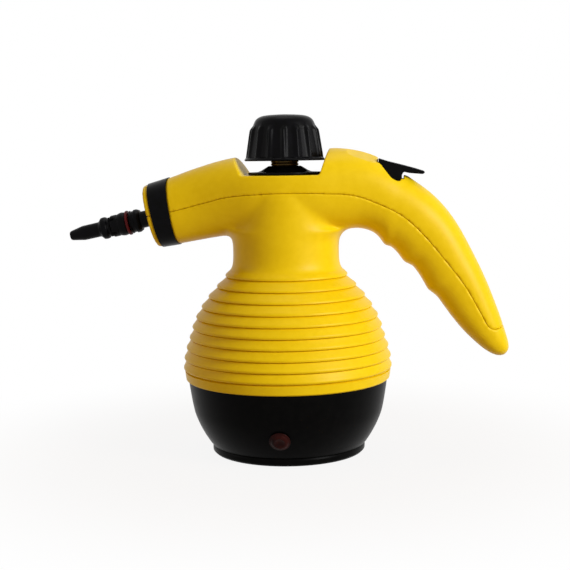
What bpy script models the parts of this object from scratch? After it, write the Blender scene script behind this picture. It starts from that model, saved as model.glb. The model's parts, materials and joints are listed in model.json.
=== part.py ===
"""Handheld steam cleaner: a small boiler in a ribbed bulb under a T-shaped housing.

Metres, +Z up. The origin is under the centre of the base, on the boiler's axis.
The jet nozzle points to -X, the handle curves down to +X, and the body is symmetric about Y = 0.
"""
import math

import bmesh
import bpy
from mathutils import Matrix, Vector

# General sizes
SEAT_GAP = 0.0003
SHELL_WALL = 0.0025
OVERRUN = 0.004
ROUND_SIDES = 16
ARM_SIDES = 20
FINE_SIDES = 28
BASE_SIDES = 28

# Ribbed bulb and its neck
BULB_RADIUS = 0.0695
NECK_RADIUS = 0.0355
BULB_BOTTOM = 0.047
BULB_TOP = 0.119
SHOULDER_COVER = 0.002
RIB_COUNT = 11
RIB_DEPTH = 0.0014
SKIRT_HEIGHT = 0.007

# T-shaped top housing
HOUSING_TOP = 0.203
HANDLE_LENGTH = 0.147
ARM_HALF_WIDTH = 0.0345
FLARE_RADIUS = 0.011
GRIP_WAVE = 0.0014
SEAM_GAP = 0.0003

# Cut-outs in the top housing
SADDLE_DEPTH = 0.0168
SADDLE_FRONT = 0.0265
SADDLE_REAR = 0.0252
SADDLE_LEAN = 0.005
SADDLE_CORNER = 0.0010
SCOOP_TILT = math.radians(9)

# Spout and its collar
SPOUT_SLOPE = math.radians(12)
COLLAR_WIDTH = 0.0112
COLLAR_SETBACK = 0.0045
COLLAR_PROUD = 0.0006
COLLAR_WALL = 0.0012
SPOUT_BORE_RADIUS = 0.0085

# Base
BASE_RIM_RADIUS = 0.0672
BASE_FOOT_RADIUS = 0.0515
BASE_BOWL_BOTTOM = 0.0065
PLATE_THICKNESS = 0.0028
FOOT_RADIUS = 0.006
FOOT_PROUD = 0.0008
FOOT_HEIGHT = 0.0022
FOOT_CIRCLE_RADIUS = 0.040
FOOT_COUNT = 4
BASE_SCREW_CIRCLE_RADIUS = 0.0435
BASE_SCREW_COUNT = 4
SCREW_HEAD_RADIUS = 0.003
SCREW_HEAD_HEIGHT = 0.0016
SCREW_SHANK_RADIUS = 0.0014
SCREW_LENGTH = 0.010
BOSS_RADIUS = 0.0035
BOSS_HEIGHT = 0.012
TONGUE_HEIGHT = 0.004
LEDGE_RADIUS = 0.0385

# Indicator light on the front of the base, and the cord gland at its back
INDICATOR_HEIGHT = 0.0200
LENS_RADIUS = 0.0058
LENS_DEPTH = 0.0045
LENS_FLANGE_RADIUS = 0.0068
LENS_FLANGE_THICKNESS = 0.001
LAMP_LENGTH = 0.012
GLAND_HEIGHT = 0.0215
GLAND_RADIUS = 0.0062
GLAND_FLANGE_RADIUS = 0.0085
GLAND_BORE_RADIUS = 0.0036
GLAND_LENGTH = 0.009
GLAND_FLANGE_THICKNESS = 0.0018
LENS_FLANGE_SEAT = 0.0006

# Boiler
BOILER_RADIUS = 0.0395
BOILER_WALL = 0.003
BOILER_BOTTOM = 0.022
BOILER_SEAM = 0.062
BOILER_TOP = 0.096
FLANGE_RADIUS = 0.0485
FLANGE_THICKNESS = 0.003
GASKET_THICKNESS = 0.0012
BOILER_SCREW_COUNT = 4
POST_RADIUS = 0.0036
POST_CIRCLE_RADIUS = 0.044
HEATER_RING_RADIUS = 0.026
HEATER_TUBE_RADIUS = 0.0034
HEATER_PIN_RADIUS = 0.0014
HEATER_PIN_LENGTH = 0.006
THERMOSTAT_RADIUS = 0.0075
THERMOSTAT_HEIGHT = 0.0065
CUTOUT_RADIUS = 0.0055
CUTOUT_HEIGHT = 0.005
TERMINAL_LENGTH = 0.020
TERMINAL_WIDTH = 0.010
TERMINAL_HEIGHT = 0.0075
STEAM_TAP_X = 0.0225
THERMOSTAT_X = 0.010
CUTOUT_X = -0.0095
TERMINAL_Y = 0.027

# Filler neck and funnel tray
FILLER_OUTER_RADIUS = 0.0110
FILLER_BORE_RADIUS = 0.0082
FILLER_COLLAR_RADIUS = 0.015
FILLER_COLLAR_HEIGHT = 0.003
FILLER_RISE = 0.0023
TRAY_THICKNESS = 0.0016
TRAY_RADIUS = 0.0243
TRAY_BOSS_BASE_RADIUS = 0.0165
TRAY_BOSS_HEIGHT = 0.0032
TRAY_RIM_HEIGHT = 0.0011

# Safety cap
CAP_RISE = 0.0094
CAP_HEIGHT = 0.0306
CAP_RADIUS = 0.0267
CAP_FLUTES = 12
CAP_FLUTE_DEPTH = 0.0011
CAP_RIM_HEIGHT = 0.0035
CAP_WALL = 0.0022
CAP_PRESS = 0.0025
SEAL_OUTER_RADIUS = 0.0088
SEAL_THICKNESS = 0.0018
PLUG_HEAD_RADIUS = 0.0092
PLUG_HEAD_HEIGHT = 0.0055
PLUG_SHANK_RADIUS = 0.0066
PLUG_LENGTH = 0.018
PLUG_STEM_RADIUS = 0.0055
PLUG_STEM_DEPTH = 0.0147
CAP_SPRING_RADIUS = 0.0074
CAP_SPRING_WIRE_RADIUS = 0.0006
CAP_SPRING_TURNS = 3
CAP_SPRING_HEIGHT = 0.0080

# Trigger and steam valve
PIN_RADIUS = 0.0015
PIN_CLEARANCE = 0.0003
PIN_SEAT = 0.0026
TRIGGER_HALF_WIDTH = 0.0130
TRIGGER_ROUND = 0.0009
WELL_SIDE_GAP = 0.0004
VALVE_HEIGHT = 0.0185
VALVE_RADIUS = 0.0062
PORT_SETBACK = 0.005
PORT_DEPTH = 0.0030
PLUNGER_RADIUS = 0.0018
PLUNGER_HEAD_RADIUS = 0.0040
PLUNGER_HEAD_HEIGHT = 0.0015
PLUNGER_TRAVEL_ROOM = 0.0025
VALVE_SPRING_RADIUS = 0.0033
VALVE_SPRING_WIRE_RADIUS = 0.00045
VALVE_SPRING_TURNS = 3
PIPE_RADIUS = 0.0025
PIPE_WALL = 0.0007
PIPE_SIDES = 8

# Outlet and jet nozzle
OUTLET_RADIUS = 0.0079
OUTLET_LENGTH = 0.024
JET_REACH = 0.0565
NOZZLE_BORE_RADIUS = 0.0012
RED_RING_RADIUS = 0.0083
RED_RING_WIDTH = 0.0016

# Shares of HANDLE_LENGTH (x), HOUSING_TOP (z) and ARM_HALF_WIDTH (width), from the spout's lip to the
# handle's tip.
# Each row is one cross-section: the point on the top line, the point on the underside and the half width.
ARM_STATION_SHARES = (
    (-0.647, 0.887, -0.580, 0.685, 0.586),
    (-0.527, 0.913, -0.480, 0.696, 0.623),
    (-0.415, 0.941, -0.367, 0.710, 0.675),
    (-0.279, 0.969, -0.245, 0.723, 0.797),
    (-0.136, 0.985, -0.122, 0.732, 0.942),
    (0.000, 0.995, 0.000, 0.736, 1.000),
    (0.136, 1.000, 0.136, 0.738, 0.951),
    (0.259, 1.001, 0.259, 0.739, 0.841),
    (0.381, 0.983, 0.340, 0.741, 0.754),
    (0.476, 0.946, 0.408, 0.723, 0.696),
    (0.558, 0.906, 0.463, 0.682, 0.652),
    (0.673, 0.842, 0.517, 0.651, 0.609),
    (0.765, 0.761, 0.584, 0.600, 0.565),
    (0.850, 0.648, 0.654, 0.537, 0.530),
    (0.908, 0.557, 0.725, 0.471, 0.501),
    (0.958, 0.463, 0.796, 0.407, 0.464),
    (0.988, 0.397, 0.867, 0.357, 0.406),
    (1.002, 0.360, 0.912, 0.333, 0.333),
    (1.001, 0.341, 0.946, 0.322, 0.232),
    (0.990, 0.327, 0.969, 0.320, 0.101),
)
# Shares of HANDLE_LENGTH and HOUSING_TOP along the joint line between the two housing shells.
SEAM_SHARES = (
    (-0.700, 0.777), (-0.599, 0.792), (-0.480, 0.808), (-0.347, 0.832), (-0.219, 0.852), (0.000, 0.861),
    (0.173, 0.859), (0.316, 0.851), (0.424, 0.823), (0.524, 0.786), (0.614, 0.728), (0.708, 0.647),
    (0.803, 0.556), (0.867, 0.475), (0.912, 0.420), (0.970, 0.420), (1.080, 0.470),
)
# Shares of the bulb's height above its lower edge and of BULB_RADIUS, up its outside to the neck.
BULB_SHARES = (
    (0.00, 0.978), (0.10, 0.994), (0.18, 1.000), (0.28, 0.987), (0.38, 0.960), (0.48, 0.926),
    (0.58, 0.896), (0.68, 0.846), (0.78, 0.782), (0.88, 0.700), (1.00, 0.592), (1.10, 0.530),
)
# Shares of the base's height and of BASE_RIM_RADIUS, from the foot up to the bulb.
BOWL_SHARES = (
    (0.00, 0.775), (0.04, 0.791), (0.10, 0.815), (0.20, 0.852), (0.35, 0.898), (0.52, 0.938),
    (0.70, 0.962), (0.86, 0.978), (1.00, 0.990),
)
# Shares of the cap's height above its rim and of CAP_RADIUS, up its outside.
CAP_SHARES = (
    (0.00, 1.000), (0.10, 0.990), (0.115, 0.975), (0.40, 0.925), (0.66, 0.870), (0.70, 0.850),
    (0.84, 0.790), (0.93, 0.690), (0.985, 0.530), (1.00, 0.300),
)
# Shares of the length in front of the spout's lip and of RED_RING_RADIUS, along the jet nozzle's outside.
NOZZLE_SHARES = (
    (0.318, 0.900), (0.350, 0.960), (0.392, 0.900), (0.400, 0.840), (0.412, 0.880), (0.480, 0.880),
    (0.495, 0.700), (0.525, 0.700), (0.535, 0.840), (0.560, 0.900), (0.600, 0.880), (0.622, 0.640),
    (0.640, 0.540), (0.840, 0.540), (0.860, 0.500), (0.980, 0.350), (1.000, 0.310),
)

# A rib's outside, as shares of its height and of RIB_DEPTH.
RIB_PROFILE_SHARES = ((0.00, -0.80), (0.24, 0.55), (0.92, -0.30))
# Shares of HANDLE_LENGTH and HOUSING_TOP round the thumb scoop and round the trigger's notch.
SCOOP_SHARES = (
    (0.300, 1.008), (0.345, 0.985), (0.385, 0.962), (0.420, 0.940), (0.455, 0.915), (0.480, 0.885),
    (0.510, 0.880), (0.510, 1.120), (0.300, 1.120),
)
NOTCH_SHARES = (
    (0.430, 0.950), (0.458, 0.923), (0.492, 0.899), (0.523, 0.888), (0.532, 0.920),
    (0.540, 1.120), (0.430, 1.120),
)
# Stations between which the finger waves lie, and those that the hollow reaches.
GRIP_STATIONS = (8.9, 13.4)
HOLLOW_STATIONS = (0.17, 17.0)

# Shares of HANDLE_LENGTH and HOUSING_TOP round the trigger's side outline.
TRIGGER_SHARES = (
    (0.4235, 0.967), (0.466, 0.965), (0.535, 0.951), (0.588, 0.937), (0.626, 0.924), (0.629, 0.919),
    (0.620, 0.914), (0.560, 0.922), (0.536, 0.9235), (0.528, 0.910), (0.526, 0.877), (0.455, 0.877),
    (0.432, 0.920),
)
TRIGGER_FOOT_SHARE = 0.877
# Shares of HANDLE_LENGTH and HOUSING_TOP: the trigger's pivot, the valve's top and the spout's lip.
PIVOT_SHARES = (0.4626, 0.8941)
VALVE_SHARES = (0.5136, 0.8374)
SPOUT_SHARES = (0.6156, 0.7823)
# Shares of HANDLE_LENGTH at the front and rear of the trigger's pocket, and of HOUSING_TOP at its floor.
WELL_SHARES = (0.4163, 0.5456, 0.8645)
# Shares of HOUSING_TOP at the top of the round neck and of the flare that leads it into the arms.
NECK_TOP_SHARE = 0.8374
FLARE_TOP_SHARE = 0.7438
# Shares of VALVE_X and HOUSING_TOP along the pipe from the boiler to the valve.
FEED_SHARES = ((0.298, 0.566), (0.301, 0.665), (0.348, 0.745), (0.494, 0.782), (0.821, 0.776))
# Shares of HANDLE_LENGTH, NECK_RADIUS and HOUSING_TOP along the pipe from the valve to the spout.
OUTLET_SHARES = (
    (0.36, 0.14, 0.81), (0.17, 0.50, 0.81), (0.0, 0.56, 0.81), (-0.17, 0.46, 0.81), (-0.33, 0.12, 0.812),
)
# Shares of the length in front of the lip: flange start, red ring and spigot end.
FLANGE_START_SHARE = 0.13
RED_RING_SHARE = 0.270
SPIGOT_END_SHARE = 0.52
# Shares of RED_RING_RADIUS.
SPIGOT_RADIUS_SHARE = 0.46
OUTLET_NECK_SHARE = 0.68
LUG_SHARES = (0.70, 1.02, 0.22)

# Shaping values and facet counts
GRIP_COUNT = 3
SECTION_POWER = 0.84
SHARP_ANGLE = math.radians(32)
ALIGNED = 0.9
ARM_STEP = 0.96
GRIP_STEP = 0.375
HEATER_OPENING = math.radians(40)
HEATER_STEPS = 12
TRIGGER_ROUND_FROM_SHARE = 0.916
FLUTE_TOP_SHARE = 0.68
FLUTE_POWER = 3
FLUTE_SIDES = 4
NOZZLE_LUGS = 4
BOILER_CORNER_SHARE = 0.30
DOME_CORNER_SHARE = 0.45
BOILER_STEPS = 3
SWITCH_CAP_SHARE = 0.45
SWITCH_BODY_SHARE = 0.82
TERMINAL_WAYS = 3
TERMINAL_LOW_SHARE = 0.7
TRAY_STRETCH_SHARE = 0.16
LENS_DOME_SHARE = 0.72
SCREW_TOP_SHARE = 0.7
SCREW_SLOT_SHARE = 0.16
SPRING_TURN_POINTS = 8
SPRING_SIDES = 4
SCREW_SIDES = 8
PATH_STEPS = 2
COLLAR_STEPS = 2
SEAM_STEPS = 2
SEAM_NEAR = 0.05
INNER_STEPS = 7
SHOULDER_STEPS = 5
FLARE_STEPS = 5

# Places that follow the sizes above
NECK_TOP = HOUSING_TOP * NECK_TOP_SHARE
SHOULDER_HEIGHT = HOUSING_TOP - SHOULDER_COVER - NECK_TOP
FLARE_TOP = HOUSING_TOP * FLARE_TOP_SHARE
SADDLE_FLOOR = HOUSING_TOP - SADDLE_DEPTH
FILLER_TOP = SADDLE_FLOOR + FILLER_RISE
CAP_BOTTOM = SADDLE_FLOOR + CAP_RISE
CAP_TOP = CAP_BOTTOM + CAP_HEIGHT
PLUG_STEM_TOP = CAP_TOP - PLUG_STEM_DEPTH
PIVOT_X = HANDLE_LENGTH * PIVOT_SHARES[0]
PIVOT_HEIGHT = HOUSING_TOP * PIVOT_SHARES[1]
WELL_FRONT = HANDLE_LENGTH * WELL_SHARES[0]
WELL_REAR = HANDLE_LENGTH * WELL_SHARES[1]
WELL_FLOOR = HOUSING_TOP * WELL_SHARES[2]
VALVE_X = HANDLE_LENGTH * VALVE_SHARES[0]
VALVE_TOP = HOUSING_TOP * VALVE_SHARES[1]
VALVE_BOTTOM = VALVE_TOP - VALVE_HEIGHT
INLET_HEIGHT = VALVE_BOTTOM + PORT_SETBACK
OUTLET_HEIGHT = VALVE_TOP - PORT_SETBACK
SPOUT_REACH = HANDLE_LENGTH * SPOUT_SHARES[0]
SPOUT_AXIS_HEIGHT = HOUSING_TOP * SPOUT_SHARES[1]

FINISHES = {
    "yellow_plastic": ((0.86, 0.60, 0.02, 1.0), 0.42, 0.0),
    "black_plastic": ((0.012, 0.012, 0.014, 1.0), 0.38, 0.0),
    "soft_black": ((0.02, 0.02, 0.02, 1.0), 0.75, 0.0),
    "red_seal": ((0.20, 0.015, 0.015, 1.0), 0.45, 0.0),
    "amber_lens": ((0.18, 0.02, 0.015, 1.0), 0.15, 0.0),
    "brass": ((0.60, 0.42, 0.16, 1.0), 0.30, 1.0),
    "aluminium": ((0.62, 0.62, 0.64, 1.0), 0.45, 1.0),
    "steel": ((0.50, 0.50, 0.52, 1.0), 0.32, 1.0),
    "silicone": ((0.55, 0.12, 0.08, 1.0), 0.60, 0.0),
    "ceramic": ((0.75, 0.74, 0.70, 1.0), 0.55, 0.0),
}


def clear_scene():
    """Starts from an empty file."""
    for item in list(bpy.data.objects):
        bpy.data.objects.remove(item, do_unlink=True)


def finish_material(finish):
    """One Principled material for each named finish."""
    known = bpy.data.materials.get(finish)
    if known:
        return known
    colour, roughness, metallic = FINISHES[finish]
    made = bpy.data.materials.new(finish)
    made.use_nodes = True
    shader = made.node_tree.nodes["Principled BSDF"]
    shader.inputs["Base Color"].default_value = colour
    shader.inputs["Roughness"].default_value = roughness
    shader.inputs["Metallic"].default_value = metallic
    made.diffuse_color = colour
    return made


def shade(mesh):
    """Smooth faces with crisp edges."""
    mesh.shade_smooth()
    mesh.set_sharp_from_angle(angle=SHARP_ANGLE)


def make_object(name, bm, finish):
    """Turns a closed bmesh into an object whose faces point out."""
    bmesh.ops.recalc_face_normals(bm, faces=bm.faces)
    mesh = bpy.data.meshes.new(name)
    bm.to_mesh(mesh)
    bm.free()
    mesh.materials.append(finish_material(finish))
    shade(mesh)
    made = bpy.data.objects.new(name, mesh)
    bpy.context.scene.collection.objects.link(made)
    return made


def bridge(bm, lower, upper):
    """Faces between two rings of points; a ring of one point is a pole."""
    count = max(len(lower), len(upper))
    for k in range(count):
        after = (k + 1) % count
        corners = [lower[k % len(lower)], lower[after % len(lower)]]
        corners += [upper[after % len(upper)], upper[k % len(upper)]]
        unlike = list(dict.fromkeys(corners))
        if len(unlike) > 2:
            bm.faces.new(unlike)


def turn(name, profile, finish, sides=ROUND_SIDES, radius_at=None):
    """A turned solid: the closed (radius, height) profile goes once round the Z axis."""
    bm = bmesh.new()
    rings = []
    for radius, height in profile:
        count = sides if radius > 0 else 1
        ring = []
        for k in range(count):
            angle = math.tau * k / sides
            reach = radius_at(radius, height, angle) if radius_at else radius
            ring.append(bm.verts.new((reach * math.cos(angle), reach * math.sin(angle), height)))
        rings.append(ring)
    for k, ring in enumerate(rings):
        upper = rings[(k + 1) % len(rings)]
        if len(ring) > 1 or len(upper) > 1:
            bridge(bm, ring, upper)
    return make_object(name, bm, finish)


def loft(name, sections, finish):
    """A closed solid through rings of equal count, with flat ends."""
    bm = bmesh.new()
    rings = [[bm.verts.new(point) for point in section] for section in sections]
    for lower, upper in zip(rings, rings[1:]):
        bridge(bm, lower, upper)
    bm.faces.new(rings[0])
    bm.faces.new(rings[-1])
    return make_object(name, bm, finish)


def slab(name, outline, half_width, finish):
    """An (x, z) outline carried from -half_width to +half_width along Y."""
    sections = [[Vector((x, side, z)) for x, z in outline] for side in (-half_width, half_width)]
    return loft(name, sections, finish)


def path_frames(path, closed=False):
    """A point, a normal and a binormal at each point of a path, carried along without twist."""
    frames = []
    normal = None
    last = len(path) - 1
    for k, point in enumerate(path):
        before = path[k - 1] if k > 0 else (path[last] if closed else path[k])
        after = path[k + 1] if k < last else (path[0] if closed else path[k])
        tangent = (after - before).normalized()
        if normal is None:
            side = Vector((0, 1, 0)) if abs(tangent.y) < ALIGNED else Vector((1, 0, 0))
            normal = tangent.cross(side).normalized()
        normal = (normal - tangent * normal.dot(tangent)).normalized()
        frames.append((point, normal, tangent.cross(normal)))
    return frames


def ring_points(frame, radius, sides):
    """A ring of points square to the path at one of its frames."""
    point, normal, binormal = frame
    angles = [math.tau * k / sides for k in range(sides)]
    return [point + (normal * math.cos(a) + binormal * math.sin(a)) * radius for a in angles]


def sweep(name, path, radius, finish, sides=PIPE_SIDES, bore=0):
    """A round bar along a path, or a pipe when it has a bore."""
    frames = path_frames(path)
    outer = [ring_points(frame, radius, sides) for frame in frames]
    if not bore:
        return loft(name, outer, finish)
    inner = [ring_points(frame, bore, sides) for frame in frames]
    return tube(name, outer + inner[::-1], finish)


def tube(name, sections, finish):
    """A closed ring-shaped solid: rings up its outside and back down its inside."""
    bm = bmesh.new()
    rings = [[bm.verts.new(point) for point in section] for section in sections]
    for k, ring in enumerate(rings):
        bridge(bm, ring, rings[(k + 1) % len(rings)])
    return make_object(name, bm, finish)


def apply_boolean(target, tool, operation):
    """Joins, cuts or trims the target with the tool, then removes the tool."""
    modifier = target.modifiers.new(operation.lower(), "BOOLEAN")
    modifier.operation = operation
    modifier.object = tool
    graph = bpy.context.evaluated_depsgraph_get()
    result = bpy.data.meshes.new_from_object(target.evaluated_get(graph))
    target.modifiers.clear()
    old = target.data
    target.data = result
    bpy.data.meshes.remove(old)
    bpy.data.objects.remove(tool, do_unlink=True)
    shade(result)
    return target


def cut(target, *tools):
    """Takes each tool out of the target."""
    for tool in tools:
        apply_boolean(target, tool, "DIFFERENCE")
    return target


def join(target, *tools):
    """Adds each tool to the target."""
    for tool in tools:
        apply_boolean(target, tool, "UNION")
    return target


def copy_of(source, name):
    """A second object with a mesh of its own."""
    made = source.copy()
    made.data = source.data.copy()
    made.name = name
    bpy.context.scene.collection.objects.link(made)
    return made


def move(obj, matrix):
    """Moves the mesh itself, so that the object's origin stays where it is."""
    obj.data.transform(matrix)
    return obj


def rod(name, start, end, radius, finish, sides=ROUND_SIDES):
    """A round bar between two points."""
    return sweep(name, [Vector(start), Vector(end)], radius, finish, sides)


def upright(name, place, low, high, radius, finish, sides=PIPE_SIDES):
    """A round bar that stands at an (x, y) place, from one height to another."""
    x, y = place
    return rod(name, (x, y, low), (x, y, high), radius, finish, sides)


def crosswise(name, reach, radius, finish):
    """A round bar through the trigger's pivot, as far to either side as reach."""
    ends = [(PIVOT_X, side * reach, PIVOT_HEIGHT) for side in (-1, 1)]
    return rod(name, *ends, radius, finish, PIPE_SIDES)


def smooth_row(table, place):
    """A row between the rows of a table, on a smooth curve through them."""
    last = len(table) - 1
    k = min(max(int(math.floor(place)), 0), last - 1)
    t = place - k
    rows = [table[min(max(k + step, 0), last)] for step in (-1, 0, 1, 2)]
    mixed = []
    for a, b, c, d in zip(*rows):
        mixed.append(b + (c - a + (a + a - 5 * b + 4 * c - d + (3 * (b - c) + d - a) * t) * t) * t / 2)
    return mixed


def arm_section(place, inset=0, sides=ARM_SIDES):
    """The T-shaped housing's section at a place in the station table, drawn in by inset."""
    top_x, top_z, low_x, low_z, width = smooth_row(ARM_STATION_SHARES, place)
    top = Vector((top_x * HANDLE_LENGTH, 0, top_z * HOUSING_TOP))
    low = Vector((low_x * HANDLE_LENGTH, 0, low_z * HOUSING_TOP))
    up = (top - low).normalized()
    low = low - up * grip_wave(place)
    centre = (top + low) / 2
    half_height = (top - low).length / 2 - inset
    half_width = width * ARM_HALF_WIDTH - inset
    ring = []
    for k in range(sides):
        angle = math.tau * k / sides
        across = math.copysign(abs(math.cos(angle)) ** SECTION_POWER, math.cos(angle))
        along = math.copysign(abs(math.sin(angle)) ** SECTION_POWER, math.sin(angle))
        ring.append(centre + up * half_height * along + Vector((0, half_width * across, 0)))
    return ring


def grip_wave(place):
    """Three low finger waves under the handle."""
    first, last = GRIP_STATIONS
    if not first < place < last:
        return 0
    return GRIP_WAVE * math.sin(math.tau * GRIP_COUNT * (place - first) / (last - first))


def arm_centre(place):
    """The middle of the arm's section at a place."""
    ring = arm_section(place)
    return sum(ring, Vector()) / len(ring)


def spaced(first, last, step):
    """Evenly spaced places from first up to, but not including, last."""
    count = round((last - first) / step)
    return [first + (last - first) * k / count for k in range(count)]


def arm_loft(name, first, last, step, inset=0, sides=ARM_SIDES):
    """The T's two arms as one loft, with its sections closer together under the finger waves."""
    wave_start, wave_end = GRIP_STATIONS
    wave_step = step if inset else GRIP_STEP
    places = spaced(first, wave_start, step) + spaced(wave_start, wave_end, wave_step)
    places += spaced(wave_end, last, step) + [last]
    return loft(name, [arm_section(place, inset, sides) for place in places], "yellow_plastic")


def bulb_radius(share):
    """The bulb's smooth outside radius at a share of its height."""
    for (low, first), (high, last) in zip(BULB_SHARES, BULB_SHARES[1:]):
        if share <= high:
            t = (share - low) / (high - low)
            return (first + (last - first) * t) * BULB_RADIUS
    return NECK_RADIUS


def bulb_profile(inset=0, ribbed=True):
    """Up the bulb's outside: a plain skirt, then ribs that each lean out to a lip and drop back under it."""
    height = BULB_TOP - BULB_BOTTOM
    points = []
    if ribbed:
        rib_height = (height - SKIRT_HEIGHT) / RIB_COUNT
        points.append((bulb_radius(0) - RIB_DEPTH / 2, BULB_BOTTOM))
        points.append((bulb_radius(0), BULB_BOTTOM + RIB_DEPTH / 2))
        for rib in range(RIB_COUNT):
            low = BULB_BOTTOM + SKIRT_HEIGHT + rib * rib_height
            for share, proud in RIB_PROFILE_SHARES:
                place = low + share * rib_height
                radius = bulb_radius((place - BULB_BOTTOM) / height)
                points.append((radius + proud * RIB_DEPTH, place))
    else:
        for k in range(INNER_STEPS + 1):
            share = k / INNER_STEPS
            points.append((bulb_radius(share) - inset, BULB_BOTTOM + share * height))
    points.append((NECK_RADIUS - inset, BULB_TOP + FLARE_RADIUS))
    return points


def bulb_solid(name, inset, ribbed, bottom, sides):
    """The bulb, its neck and the dome that closes the neck inside the arms."""
    outside = bulb_profile(inset, ribbed)
    profile = [(0, bottom)]
    if bottom < BULB_BOTTOM:
        profile.append((outside[0][0], bottom))
    profile += outside
    for k in range(SHOULDER_STEPS + 1):
        rise = (SHOULDER_HEIGHT - inset) * math.sin(math.pi / 2 * k / SHOULDER_STEPS)
        reach = (NECK_RADIUS - inset) * math.cos(math.pi / 2 * k / SHOULDER_STEPS) ** SECTION_POWER
        profile.append((reach if k < SHOULDER_STEPS else 0, NECK_TOP + rise))
    return turn(name, profile, "yellow_plastic", sides)


def flare_solid(name):
    """The hollow sweep that leads the round neck out into both arms."""
    sections = []
    start = FLARE_TOP - FLARE_RADIUS
    neck = NECK_RADIUS - SEAT_GAP
    for k in range(FLARE_STEPS + 1):
        angle = math.pi / 2 * k / FLARE_STEPS
        spread = FLARE_RADIUS * (1 - math.cos(angle))
        height = start + FLARE_RADIUS * math.sin(angle)
        ring = []
        for side in range(FINE_SIDES):
            turn_angle = math.tau * side / FINE_SIDES
            x = (neck + spread) * math.cos(turn_angle)
            ring.append(Vector((x, neck * math.sin(turn_angle), height)))
        sections.append(ring)
    return loft(name, sections, "yellow_plastic")


def saddle_outline(grow=0):
    """The cut under the cap: a level floor between two leaning walls."""
    floor = SADDLE_FLOOR - grow
    front = -SADDLE_FRONT - grow
    rear = SADDLE_REAR + grow
    corner = SADDLE_CORNER
    high = CAP_TOP
    lean = SADDLE_LEAN * (high - floor) / SADDLE_DEPTH
    return [
        (front + corner, floor), (rear - corner, floor), (rear, floor + corner),
        (rear + lean, high), (front - lean, high), (front, floor + corner),
    ]


def shares_outline(shares):
    """An outline in metres from shares of the handle's length and the housing's height."""
    return [(x * HANDLE_LENGTH, z * HOUSING_TOP) for x, z in shares]


def scoop_solid(name, grow=0):
    """The thumb scoop behind the saddle, tipped towards the side that faces -Y."""
    outline = [(x, z - grow) for x, z in shares_outline(SCOOP_SHARES)]
    made = slab(name, outline, NECK_RADIUS + OVERRUN, "yellow_plastic")
    pivot = Vector((0, 0, outline[0][1]))
    tilt = Matrix.Translation(pivot) @ Matrix.Rotation(SCOOP_TILT, 4, "X") @ Matrix.Translation(-pivot)
    return move(made, tilt)


def well_solid(name, grow=0):
    """The pocket that holds the trigger's body."""
    front, rear = WELL_FRONT - grow, WELL_REAR + grow
    floor, high = WELL_FLOOR - grow, HOUSING_TOP + OVERRUN
    outline = [(front, high), (front, floor), (rear, floor), (rear, high)]
    return slab(name, outline, TRIGGER_HALF_WIDTH + WELL_SIDE_GAP + grow, "yellow_plastic")


def seam_line(shift):
    """The joint line between the shells, moved square to itself by shift."""
    table = shares_outline(SEAM_SHARES)
    line = []
    for k in range((len(table) - 1) * SEAM_STEPS + 1):
        place = k / SEAM_STEPS
        here = Vector(smooth_row(table, place))
        ahead = Vector(smooth_row(table, min(place + SEAM_NEAR, len(table) - 1)))
        behind = Vector(smooth_row(table, max(place - SEAM_NEAR, 0)))
        along = (ahead - behind).normalized()
        line.append((here.x - along.y * shift, here.y + along.x * shift))
    return line


def above_seam(name, shift):
    """Everything above the joint line."""
    line = seam_line(shift)
    high = HOUSING_TOP + CAP_TOP
    outline = line + [(line[-1][0], high), (line[0][0], high)]
    return slab(name, outline, HANDLE_LENGTH, "yellow_plastic")


def outlet_matrix():
    """Carries +Z onto the spout's outward axis, from the middle of the spout's lip."""
    lip = Vector((-SPOUT_REACH, 0, SPOUT_AXIS_HEIGHT))
    outward = Vector((-math.cos(SPOUT_SLOPE), 0, -math.sin(SPOUT_SLOPE)))
    return Matrix.Translation(lip) @ outward.to_track_quat("Z", "Y").to_matrix().to_4x4()


def collar_places():
    """Where the collar starts and ends, counted in stations of the arm's table."""
    step = (arm_centre(1) - arm_centre(0)).length
    return COLLAR_SETBACK / step, (COLLAR_SETBACK + COLLAR_WIDTH) / step


def collar_band(name, outset, inset, places, finish):
    """A band round the spout, between two insets from the housing's outside."""
    first, last = places
    stations = [first + (last - first) * k / COLLAR_STEPS for k in range(COLLAR_STEPS + 1)]
    outer = [arm_section(place, -outset) for place in stations]
    inner = [arm_section(place, inset) for place in stations]
    return tube(name, outer + inner[::-1], finish)


def housing_hollow():
    """The room inside the shells; it leaves a wall under each cut-out."""
    hollow = arm_loft("hollow", *HOLLOW_STATIONS, ARM_STEP + ARM_STEP, SHELL_WALL)
    inset = SHELL_WALL + RIB_DEPTH / 2
    join(hollow, bulb_solid("bulb_hollow", inset, False, BULB_BOTTOM - OVERRUN, ROUND_SIDES))
    saddle_wall = slab("saddle_wall", saddle_outline(SHELL_WALL), HANDLE_LENGTH, "yellow_plastic")
    cut(hollow, saddle_wall, scoop_solid("scoop_wall", SHELL_WALL))
    return cut(hollow, well_solid("well_wall", SHELL_WALL))


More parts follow.
